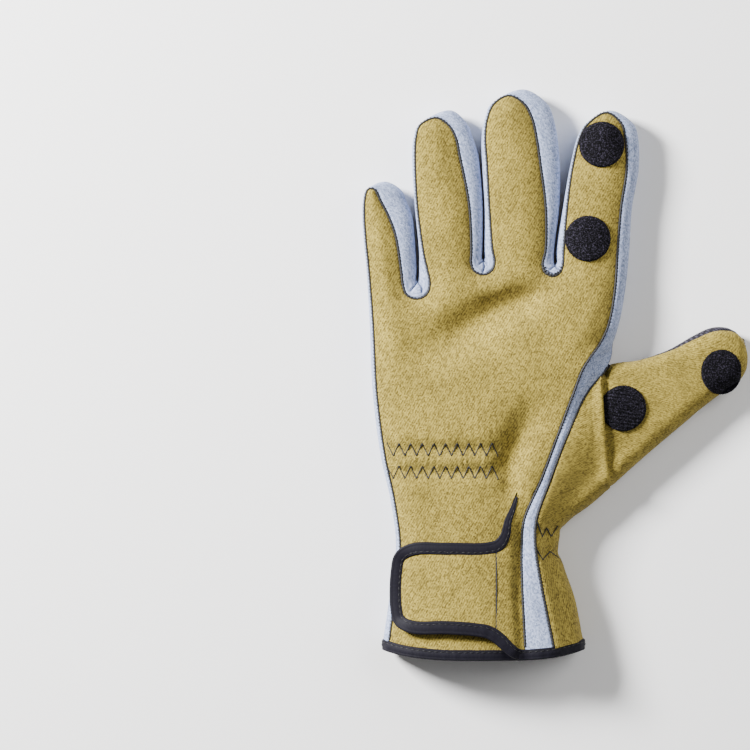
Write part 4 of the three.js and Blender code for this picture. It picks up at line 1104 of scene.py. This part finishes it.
def pile_tape(name, light, dark):
    """Black nylon hook-and-loop tape. The loose fibres of its pile catch the light one by one, so it is
    near black with small grey specks."""
    material, tree = new_material(name)
    place = add_node(tree, "ShaderNodeTexCoord").outputs["Object"]
    fibres = add_node(tree, "ShaderNodeTexNoise", None, {
        "Vector": place, "Scale": 1600.0, "Detail": 2.0, "Roughness": 0.7})
    shade = add_node(tree, "ShaderNodeMapRange", None, {
        "Value": fibres.outputs["Fac"], "From Min": 0.5, "From Max": 0.72})
    set_shader(tree, {
        "Base Color": blend(tree, "RGBA", shade.outputs[0], linear(dark), linear(light)),
        "Roughness": 0.85, "Specular IOR Level": 0.1})
    return material


black_pile = pile_tape("black_hook_and_loop_tape", "#3A3644", "#020203")
flat, triangles = cut_panel(rectangle(STRAP_PAD, 1.5), 1.5, (0.4,))
base = back_height(*flat.T) + PAD_GAP
points, faces, _ = shell(flat, base + PAD_THICKNESS, base, triangles)
pad = make_piece("strap_hook_pad", points, faces, [black_pile])
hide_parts("strap_pad")
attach(pad, "root")


# Binding tape
# Woven nylon tape, folded over the raw edges and sewn through with one row of stitches. One length goes
# round the mouth of the cuff, the other along the slit and round the strap.

HEM_TAPE_THICKNESS = 3.6
STRAP_TAPE_THICKNESS = 2.6
# Where the hem's tape lies on the back of the flap and of the cuff, at these x
HEM_OVER_FLAP = (-16.8, -13.6)
HEM_OVER_CUFF = (-70.0, -62.0, -52.0, -40.0, -28.0, -17.0)
# The rest of its way round the mouth, as x and height: over the strip and gusset, under the palm, and up
HEM_OVER_GUSSET = [
    (-7.4, 22.2), (-1.2, 21.1), (6.0, 16.2), (9.6, 13.4), (11.3, 9.8), (11.4, 6.2), (9.6, 3.6), (6.0, 2.1),
]
HEM_UNDER_PALM = [
    (0.0, 2.05), (-10.0, 2.05), (-30.0, 2.05), (-50.0, 2.05), (-64.0, 2.05), (-70.5, 2.5), (-73.6, 4.3),
    (-74.8, 8.0), (-73.8, 12.0),
]
# The strap's tape from the slit to the hem: x, y and width
STRAP_TAPE = [
    (-17.3, -55.4, 1.2), (-18.8, -60.0, 2.4), (-21.1, -66.0, 3.4), (-22.3, -72.0, 4.4), (-25.2, -76.4, 5.4),
    (-31.0, -78.0, 5.6), (-48.0, -78.0, 5.6), (-63.0, -78.3, 5.6), (-68.2, -81.5, 5.6), (-69.8, -88.0, 5.6),
    (-70.0, -104.0, 5.6), (-68.4, -109.6, 5.6), (-63.0, -112.2, 5.8), (-48.0, -112.4, 6.0),
    (-36.2, -113.2, 6.0), (-30.0, -114.3, 6.0), (-25.6, -116.8, 5.8), (-21.6, -120.6, 5.4),
    (-18.2, -123.4, 5.0), (-15.2, -124.6, 4.6),
]
STRAP_TAPE_SINK = 0.7
STRAP_TAPE_SPAN = 2.0
HEM_PER_SPAN = 12
STRAP_PER_SPAN = 8
TAPE_SIDES = 28
# The tape's section is a rounded box, pinched in by its stitches, and a little uneven along its length
BOX_POWERS = (0.6, 0.55)
SEWN_PINCH = 0.22
SEWN_REACH = 0.16
PUCKER = 0.1
PUCKER_LENGTH = 2.2


def woven_tape(name, light, dark):
    """Nylon tape woven with fine ribs across. The filaments give it a low sheen along the fold, and the
    ribs break that into short dashes."""
    material, tree = new_material(name)
    place = add_node(tree, "ShaderNodeUVMap").outputs[0]
    # The map's u runs along the tape in millimetres, with one rib to 0.6 mm
    ribs = add_node(tree, "ShaderNodeTexWave", {"bands_direction": "X"}, {
        "Vector": place, "Scale": WAVE_PERIOD / 0.6, "Distortion": 1.5, "Detail Scale": 3.0})
    fuzz = add_node(tree, "ShaderNodeTexNoise", None, {"Vector": place, "Scale": 1.1, "Detail": 3.0})
    height = blend(tree, "FLOAT", 0.7, ribs.outputs["Fac"], fuzz.outputs["Fac"])
    set_shader(tree, {
        "Base Color": blend(tree, "RGBA", height, linear(dark), linear(light)),
        "Normal": bumps(tree, 0.5, 0.00015, height), "Roughness": 0.65, "Specular IOR Level": 0.15})
    return material


def tape_along(name, path, across, widths, thickness, material):
    """A folded tape swept along a path, with the row where it is sewn through pinched in."""
    run = unit(np.gradient(path, axis=0))
    across = unit(across - run * (across * run).sum(1)[:, None])
    normal = np.cross(run, across)
    length = travelled(path)
    count, size = len(path), TAPE_SIDES
    angle = 2 * math.pi * np.arange(size) / size
    wide = np.sign(np.cos(angle)) * np.abs(np.cos(angle)) ** BOX_POWERS[0]
    deep = np.sign(np.sin(angle)) * np.abs(np.sin(angle)) ** BOX_POWERS[1]
    pinch = 1 - SEWN_PINCH * hump(np.abs(wide) - 0.5, SEWN_REACH)
    pucker = 1 + PUCKER * np.array([noise.noise(Vector((s / PUCKER_LENGTH, 0, widths[-1]))) for s in length])
    points = path[:, None, :] + across[:, None, :] * (wide * widths[:, None] / 2)[..., None]
    points = points + normal[:, None, :] * (deep * pinch * thickness / 2 * pucker[:, None])[..., None]
    faces = [
        (i * size + j, i * size + (j + 1) % size, (i + 1) * size + (j + 1) % size, (i + 1) * size + j)
        for i in range(count - 1) for j in range(size)]
    faces += [tuple(range(size))[::-1], tuple((count - 1) * size + j for j in range(size))]
    points = points.reshape(-1, 3)
    piece = make_piece(name, points, outward(points, faces), [material], sharp=60)
    uv = piece.data.uv_layers.new(name="UVMap")
    girth = 2 * (widths.mean() + thickness) / size
    for polygon in piece.data.polygons:
        vertices = [piece.data.loops[k].vertex_index for k in polygon.loop_indices]
        sides = [vertex % size for vertex in vertices]
        wraps = max(sides) - min(sides) > size / 2
        for k, vertex, side in zip(polygon.loop_indices, vertices, sides):
            v = side + (size if wraps and side < size / 2 else 0)
            uv.data[k].uv = (length[vertex // size], v * girth)
    return piece, normal


def hem_on(height, places):
    """The hem tape's way over the back at these x, in the middle of the cloth that it wraps."""
    return [(x, height(x, hem_edge(x) + TAPE_WIDTH)[0] - WALL / 2) for x in places]


navy_tape = woven_tape("navy_nylon_tape", "#15131F", "#030206")

hem_path = smooth_line([
    *hem_on(flap_height, HEM_OVER_FLAP), *HEM_OVER_GUSSET, *HEM_UNDER_PALM,
    *hem_on(back_height, HEM_OVER_CUFF)], HEM_PER_SPAN)
hem_path = np.column_stack([hem_path[:, 0], hem_edge(hem_path[:, 0]) + TAPE_WIDTH / 2, hem_path[:, 1]])
hem_tape, _ = tape_along(
    "hem_tape", hem_path, np.array([0.0, 1.0, 0.0]), np.full(len(hem_path), TAPE_WIDTH), HEM_TAPE_THICKNESS,
    navy_tape)
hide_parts("hem_binding")
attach(hem_tape, "root")

x, y, widths = smooth_line(STRAP_TAPE, STRAP_PER_SPAN).T
ramp = np.where((x > STRAP_SEAM) & (y > STRAP_TOP), smooth(-y, -SLIT_TOP, -SLIT_TOP + FLAP_RAMP), 1)
height = np.maximum(back_height(x, y), back_height(x + STRAP_TAPE_SPAN, y))
height += FLAP_LIFT * ramp - STRAP_TAPE_SINK
strap_path = np.column_stack([x, y, height])
strap_across = np.column_stack([to_right(strap_path[:, :2]), x * 0])
strap_tape, strap_normal = tape_along(
    "strap_tape", strap_path, strap_across, widths, STRAP_TAPE_THICKNESS, navy_tape)
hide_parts("strap_binding")
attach(strap_tape, "root")


# Hook-and-loop dots
# Four black dots of hook-and-loop tape, glued to the backs of the index finger and the thumb. When a
# fingertip is folded back, its dot holds to the one below. Three carry loops, the thumb's lower one hooks.

DOT_THICKNESS = 1.2
DOT_SINK = 0.1
# Each dot: middle, half width and height, where it is cut off at the left and right, and its ribs' pitch
DOTS = [
    ("index_tip_dot", 20.2, 99.5, 10.0, 10.0, 10.4, 40.0, 0.0),
    ("index_base_dot", 14.1, 58.1, 10.0, 10.0, 0.0, 40.0, 0.0),
    ("thumb_tip_dot", 72.9, -0.5, 9.0, 9.8, 60.0, 81.6, 0.0),
    ("thumb_base_dot", 29.7, -16.4, 10.0, 10.0, 20.9, 45.0, 1.6),
]
DOT_CORNERS = 72
DOT_CELL = 0.7
DOT_RIM = 0.7
DOT_RIM_HEIGHT = 0.55
RIB_RISE = 0.25
RIB_LEAN = 0.15
PILE = {"Spacing": 0.00052, "Fibre": 0.0008}
FIBRE_WIDTH = (0.00022, 0.00042)
FIBRE_LEAN = 0.9
UNDER_CREASE = 1.5


def height_over(piece, x, y, middle):
    """Height of a piece's top under each plan point, or under the nearest one towards the middle."""
    corners = [v.co / MILLIMETRE - Vector(FRAME_SHIFT) for v in piece.data.vertices]
    tree = BVHTree.FromPolygons(corners, [tuple(p.vertices) for p in piece.data.polygons])
    heights = []
    for point in zip(x, y):
        for reach in np.linspace(1, 0, 21):
            px, py = mix(np.array(middle), np.array(point), reach)
            hit = tree.ray_cast(Vector((px, py, 60)), Vector((0, 0, -1)))[0]
            if hit is not None:
                break
        heights.append(hit.z if hit is not None else 0.0)
    return np.array(heights)


def make_nodes(name, floats):
    """A node group that takes a mesh, the named sizes and a seed, and gives a mesh."""
    tree = bpy.data.node_groups.new(name, "GeometryNodeTree")
    tree.interface.new_socket("Geometry", in_out="INPUT", socket_type="NodeSocketGeometry")
    for label in floats:
        tree.interface.new_socket(label, in_out="INPUT", socket_type="NodeSocketFloat")
    tree.interface.new_socket("Seed", in_out="INPUT", socket_type="NodeSocketInt")
    tree.interface.new_socket("Geometry", in_out="OUTPUT", socket_type="NodeSocketGeometry")
    return tree, add_node(tree, "NodeGroupInput").outputs


def end_nodes(tree, shapes, material):
    """The last nodes of a group: the shapes joined as real geometry, smooth, with their material."""
    both = add_node(tree, "GeometryNodeJoinGeometry")
    for shape in shapes:
        tree.links.new(shape, both.inputs[0])
    real = add_node(tree, "GeometryNodeRealizeInstances", None, {"Geometry": both.outputs[0]})
    smoothed = add_node(tree, "GeometryNodeSetShadeSmooth", None, {"Geometry": real.outputs[0]})
    painted = add_node(tree, "GeometryNodeSetMaterial", None, {
        "Geometry": smoothed.outputs[0], "Material": material})
    add_node(tree, "NodeGroupOutput", None, {"Geometry": painted.outputs[0]})


def run_nodes(piece, tree, settings):
    """Turns a piece into the plain mesh that the node group makes of it."""
    modifier = piece.modifiers.new("nodes", "NODES")
    modifier.node_group = tree
    for item in tree.interface.items_tree:
        if item.in_out == "INPUT" and item.name in settings:
            modifier[item.identifier] = settings[item.name]
    evaluated = piece.evaluated_get(bpy.context.evaluated_depsgraph_get())
    made = bpy.data.meshes.new_from_object(evaluated)
    piece.modifiers.clear()
    piece.data = made


# Each fibre is a short stub, stuck into the top of the dot at a random lean
pile, given = make_nodes("pile_fibres", ("Spacing", "Fibre"))
spots = add_node(pile, "GeometryNodeDistributePointsOnFaces", {"distribute_method": "POISSON"}, {
    "Mesh": given["Geometry"], "Distance Min": given["Spacing"], "Density Max": 6.0e6, "Seed": given["Seed"]})
stub = add_node(pile, "GeometryNodeMeshIcoSphere", None, {"Radius": 0.5, "Subdivisions": 1})
lean = add_node(pile, "FunctionNodeRandomValue", {"data_type": "FLOAT_VECTOR"}, {
    0: (-FIBRE_LEAN, -FIBRE_LEAN, 0.0), 1: (FIBRE_LEAN, FIBRE_LEAN, 6.28), "Seed": given["Seed"]})
turned = add_node(pile, "FunctionNodeEulerToRotation", None, {0: lean.outputs[0]})
size = add_node(pile, "ShaderNodeCombineXYZ", None, {
    "X": FIBRE_WIDTH[0], "Y": FIBRE_WIDTH[1], "Z": given["Fibre"]})
stubs = add_node(pile, "GeometryNodeInstanceOnPoints", None, {
    "Points": spots.outputs["Points"], "Instance": stub.outputs[0], "Rotation": turned.outputs[0],
    "Scale": size.outputs[0]})
end_nodes(pile, (given["Geometry"], stubs.outputs[0]), black_pile)

for seed, (name, x, y, half_width, half_height, clip_left, clip_right, rib) in enumerate(DOTS):
    angle = np.linspace(0, 2 * math.pi, DOT_CORNERS + 1)[:-1]
    outline = np.column_stack([
        np.clip(x + half_width * np.cos(angle), clip_left, clip_right), y + half_height * np.sin(angle)])
    outline = outline[np.linalg.norm(outline - np.roll(outline, 1, axis=0), axis=1) > 0.05]
    flat, triangles = cut_panel(outline, DOT_CELL, (0.25, 0.6))
    on = back_of_hand if name.startswith("index") else thumb_cloth
    # The thumb's lower dot runs in under the lapped crease, so it keeps the height of the cloth beside it
    covered = UNDER_CREASE if rib else 0.0
    base = height_over(on, np.maximum(flat[:, 0], clip_left + covered), flat[:, 1], (x, y))
    to_rim = distance_to(closed(outline), *flat.T)[0]
    across = (flat[:, 1] - y) + RIB_LEAN * (flat[:, 0] - x)
    ribs = RIB_RISE * np.cos(2 * math.pi * across / rib) if rib else 0
    top = base + DOT_THICKNESS * mix(DOT_RIM_HEIGHT, 1, smooth(to_rim, 0, DOT_RIM)) + ribs
    points, faces, _ = shell(flat, top, base - DOT_SINK, triangles)
    dot = make_piece(name + "_pile", points, faces, [black_pile])
    run_nodes(dot, pile, {**PILE, "Seed": seed + 3})
    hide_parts(name)
    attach(dot, "root")


# Seams
# The pieces are sewn edge to edge with a black thread that runs over and under the join. From above it
# shows as a fine dark line in the groove, with short slanting stitches across it.

# The thread and its stitches are measured in metres, as their nodes take them
STITCH_SPACING = 0.0015
STITCH_LENGTH = 0.0018
STITCH_WOBBLE = 0.3
THREAD = 0.00095
LAID_LINE = 0.00045
SEAM_SINK = 0.16
SEAM_ENDS = 8
STRAP_SEAM_SINK = 0.2
STRAP_SEAM_RUN = (-79.6, -114.2)
UNDER_SEAM_HEIGHT = 0.45
GUSSET_SEAM_TOP = 1.5
WEB_TACK_INSET = 0.7
WEB_TACK_ANGLES = (195, 345)


def polyester_thread(name, colour):
    """Spun polyester thread. Its twist gives it a soft highlight, and the short fibres a dull edge."""
    material, tree = new_material(name)
    place = add_node(tree, "ShaderNodeTexCoord").outputs["Object"]
    fibres = add_node(tree, "ShaderNodeTexNoise", None, {"Vector": place, "Scale": 2500.0, "Detail": 1.0})
    set_shader(tree, {
        "Base Color": linear(colour), "Normal": bumps(tree, 0.5, 0.0001, fibres.outputs["Fac"]),
        "Roughness": 0.6})
    return material


black_thread = polyester_thread("black_polyester_thread", "#08070B")

sewing, given = make_nodes("sewn_seam", ("Spacing", "Length", "Thread", "Slant", "Line"))
line = add_node(sewing, "GeometryNodeMeshToCurve", None, {"Mesh": given["Geometry"]})
spaced = add_node(sewing, "GeometryNodeResampleCurve", {"mode": "LENGTH"}, {
    "Curve": line.outputs[0], "Length": given["Spacing"]})
bead = add_node(sewing, "GeometryNodeMeshUVSphere", None, {"Segments": 6, "Rings": 4, "Radius": 0.5})
tangent = add_node(sewing, "GeometryNodeInputTangent")
aligned = add_node(sewing, "FunctionNodeAlignRotationToVector", {"axis": "X"}, {"Vector": tangent.outputs[0]})
wobble = add_node(sewing, "FunctionNodeRandomValue", {"data_type": "FLOAT"}, {
    2: -STITCH_WOBBLE, 3: STITCH_WOBBLE, "Seed": given["Seed"]})
slant = add_node(sewing, "ShaderNodeMath", {"operation": "ADD"}, {0: given["Slant"], 1: wobble.outputs[1]})
swing = add_node(sewing, "ShaderNodeCombineXYZ", None, {"Z": slant.outputs[0]})
swung = add_node(sewing, "FunctionNodeEulerToRotation", None, {0: swing.outputs[0]})
turned = add_node(sewing, "FunctionNodeRotateRotation", {"rotation_space": "LOCAL"}, {
    0: aligned.outputs[0], 1: swung.outputs[0]})
size = add_node(sewing, "ShaderNodeCombineXYZ", None, {
    "X": given["Length"], "Y": given["Thread"], "Z": given["Thread"]})
stitches = add_node(sewing, "GeometryNodeInstanceOnPoints", None, {
    "Points": spaced.outputs[0], "Instance": bead.outputs[0], "Rotation": turned.outputs[0],
    "Scale": size.outputs[0]})
section = add_node(sewing, "GeometryNodeCurvePrimitiveCircle", {"mode": "RADIUS"}, {
    "Resolution": 6, "Radius": given["Line"]})
laid = add_node(sewing, "GeometryNodeCurveToMesh", None, {
    "Curve": line.outputs[0], "Profile Curve": section.outputs[0], "Fill Caps": True})
end_nodes(sewing, (stitches.outputs[0], laid.outputs[0]), black_thread)


def sew(name, lines, seed, slant=1.0, spacing=STITCH_SPACING, length=STITCH_LENGTH, thread=THREAD,
        laid_line=LAID_LINE, material=None):
    """Thread and stitches along lines of points, as one piece."""
    points = np.vstack(lines)
    starts = np.cumsum([0] + [len(line) for line in lines])
    edges = [(i, i + 1) for a, b in zip(starts[:-1], starts[1:]) for i in range(a, b - 1)]
    mesh = bpy.data.meshes.new(name)
    mesh.from_pydata(((points + FRAME_SHIFT) * MILLIMETRE).tolist(), edges, [])
    piece = add_object(name, mesh)
    run_nodes(piece, sewing, {
        "Spacing": spacing, "Length": length, "Thread": thread, "Slant": slant, "Line": laid_line,
        "Seed": seed})
    if material is not None:
        piece.data.materials[0] = material
    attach(piece, "root")


def thinned(line, step=0.8):
    """The line with its points no closer than the step."""
    kept = [0]
    for i in range(1, len(line)):
        if np.linalg.norm(line[i] - line[kept[-1]]) >= step:
            kept.append(i)
    return line[kept]


seam_height = back_height(*seam_line.T)
seam_height[slit_at:] = flap_height(*seam_line[slit_at:].T)
back_seam = np.column_stack([seam_line, seam_height - SEAM_SINK])[SEAM_ENDS:-SEAM_ENDS]
sew("back_seam", [thinned(back_seam)], seed=2)

gusset_height = np.interp(palm_line[side_end:, 1], band["y"], band["out_height"])
far_seam = np.column_stack([palm_line[side_end:], gusset_height - SEAM_SINK])
far_seam = far_seam[far_seam[:, 1] < GUSSET_SEAM_TOP][:-SEAM_ENDS]
sew("gusset_seam", [thinned(far_seam)], slant=-1.0, seed=5)

middle_x, middle_y, across, deep = WEBS[2][:4]
angle = np.radians(np.linspace(*WEB_TACK_ANGLES, 24))
x = middle_x + (across - WEB_TACK_INSET) * np.cos(angle)
y = middle_y + (deep - WEB_TACK_INSET) * np.sin(angle)
sew("web_tacks", [np.column_stack([x, y, back_height(x, y) - 0.05])], slant=1.35, seed=9, spacing=0.0014,
    length=0.0024, thread=0.0006, laid_line=0.0001)

y = np.linspace(*STRAP_SEAM_RUN, 44)
x = np.full(len(y), STRAP_SEAM)
strap_high = back_height(x, y) + FLAP_LIFT - STRAP_SEAM_SINK
sew("strap_seam", [np.column_stack([x, y, strap_high])], slant=0.2, seed=4, spacing=0.0022, length=0.0017,
    thread=0.0007, laid_line=0.0003)

palm_seam_run = palm_line[10:crotch_start]
palm_seam_run = np.column_stack([palm_seam_run, np.full(len(palm_seam_run), UNDER_SEAM_HEIGHT)])
thumb_seam_run = outer_back[SEAM_ENDS:, -1].copy()
thumb_seam_run[:, 2] = np.maximum(thumb_seam_run[:, 2], UNDER_SEAM_HEIGHT)
sew("under_seams", [thinned(palm_seam_run), thinned(thumb_seam_run)], seed=7, slant=0.9, thread=0.0007,
    laid_line=0.0003)


# Elastic rows
# Inside the wrist two elastic threads are caught with a zigzag stitch. The black zigzag shows on the
# palm, on the gusset and on the back beside the slit, where the elastic ends.

GUSSET_ZIGZAGS = [
    [(-8.1, -66.7), (-6.0, -72.7), (-4.0, -68.9), (-2.0, -72.7), (0.8, -68.4)],
    [(-8.8, -77.7), (-5.8, -82.8), (-2.5, -79.3), (1.3, -82.1)],
]
BACK_ZIGZAG = {"first": -25.5, "last": -74.0, "pitch": 5.0, "height": 5.5}
PALM_ZIGZAG = {"first": -63.0, "last": -11.0, "pitch": 4.8, "height": 3.8}
PALM_THREAD_LOWEST = 0.32


def zigzag(middle, first, last, pitch, height):
    count = int(abs(last - first) / (pitch / 2))
    x = np.linspace(first, last, count + 1)
    return [(px, middle + (height / 2 if i % 2 else -height / 2)) for i, px in enumerate(x)]


def laid_on(piece, line, lift):
    """Points of a line laid on a piece's top."""
    run = along(line, 0.5)
    return np.column_stack([run, height_over(piece, *run.T, run.mean(0)) + lift])


zigzags = [laid_on(thumb_cloth, line, 0.1) for line in GUSSET_ZIGZAGS]
zigzags += [laid_on(back_of_hand, zigzag(row, **BACK_ZIGZAG), 0.05) for row in ELASTIC_ROWS]
for row in GATHER_ROWS:
    run = along(zigzag(row, **PALM_ZIGZAG), 0.6)
    zigzags.append(np.column_stack([run, np.maximum(palm_gather(*run.T) - 0.1, PALM_THREAD_LOWEST)]))
sew("elastic_zigzags", zigzags, slant=0.0, seed=8, spacing=0.0016, length=0.0013, thread=0.00055,
    laid_line=0.00025)


# Stitching of the tape
# One row of lockstitches in black thread, coloured dark grey as painted sheen, goes through the tape and the
# cloth that it wraps, near its inner edge.

TAPE_STITCHES = {"slant": 0.0, "spacing": 0.0026, "length": 0.0019, "thread": 0.0004, "laid_line": 0.00005}
# The row lies this share of the tape's width from its middle, and this far out from the middle of the cloth
SEWN_AT = 0.25
HEM_STITCHES_OUT = HEM_TAPE_THICKNESS * 0.43
STRAP_STITCHES_OUT = STRAP_TAPE_THICKNESS * 0.45
FLOOR_CLEARANCE = 0.3

hem_outwards = unit(np.cross(unit(np.gradient(hem_path, axis=0)), [0.0, 1.0, 0.0]))
rows = []
for side in (1, -1):
    shifted = hem_path + [0, TAPE_WIDTH * SEWN_AT, 0] + side * hem_outwards * HEM_STITCHES_OUT
    clear = shifted[:, 2] > FLOOR_CLEARANCE
    breaks = np.flatnonzero(np.diff(clear.astype(int))) + 1
    rows += [thinned(part) for part, above in zip(np.split(shifted, breaks), np.split(clear, breaks))
             if above[0] and len(part) > 4]
# The black thread is coloured dark grey: painted sheen, so that its stitches show as light dashes on the dark
# tape.
sheen_painted_thread = polyester_thread("thread_with_painted_sheen", "#454352")
sew("hem_stitches", rows, seed=11, material=sheen_painted_thread, **TAPE_STITCHES)

strap_row = strap_path - strap_across * (widths * SEWN_AT)[:, None] - strap_normal * STRAP_STITCHES_OUT
sew("strap_tape_stitches", [thinned(strap_row[10:-2])], seed=12, material=sheen_painted_thread, **TAPE_STITCHES)


# Floor, light and camera
# A pale even floor, a soft light from the left and a weak fill, and a camera straight above on a long
# lens, as the photograph was taken.

FLOOR_REACH = 3.0
FLOOR_GAP = 0.0003
CAMERA_HEIGHT = 3.0
SENSOR = 36
# The picture's middle, and how wide it is at what distance from the lens
VIEW_MIDDLE = (-0.0793, -0.0002)
VIEW_WIDTH = 0.33
VIEW_DEPTH = 2.99

corners = [(x * FLOOR_REACH, y * FLOOR_REACH, -FLOOR_GAP) for x, y in ((-1, -1), (1, -1), (1, 1), (-1, 1))]
floor_mesh = bpy.data.meshes.new("floor")
floor_mesh.from_pydata(corners, [], [(0, 1, 2, 3)])
white_paper, tree = new_material("white_paper")
set_shader(tree, {"Base Color": linear("#F4F3F2"), "Roughness": 0.95})
floor_mesh.materials.append(white_paper)
floor = add_object("floor", floor_mesh)


def soft_light(name, place, size, power):
    light = bpy.data.lights.new(name, "AREA")
    light.size = size
    light.energy = power
    lamp = add_object(name, light)
    lamp.location = place
    lamp.rotation_euler = Vector(place).to_track_quat("Z", "Y").to_euler()


soft_light("key_light", (-1.0, 0.55, 0.66), 0.35, 86)
soft_light("fill_light", (0.9, 0.5, 0.9), 0.9, 13)
world = bpy.data.worlds.new("studio")
world.use_nodes = True
world.node_tree.nodes["Background"].inputs[0].default_value = linear("#FFFFFF")
world.node_tree.nodes["Background"].inputs[1].default_value = 0.23
bpy.context.scene.world = world

camera_data = bpy.data.cameras.new("camera")
camera_data.sensor_width = SENSOR
camera_data.lens = SENSOR * VIEW_DEPTH / VIEW_WIDTH
camera = add_object("camera", camera_data)
camera.location = (*VIEW_MIDDLE, CAMERA_HEIGHT)
bpy.context.scene.camera = camera
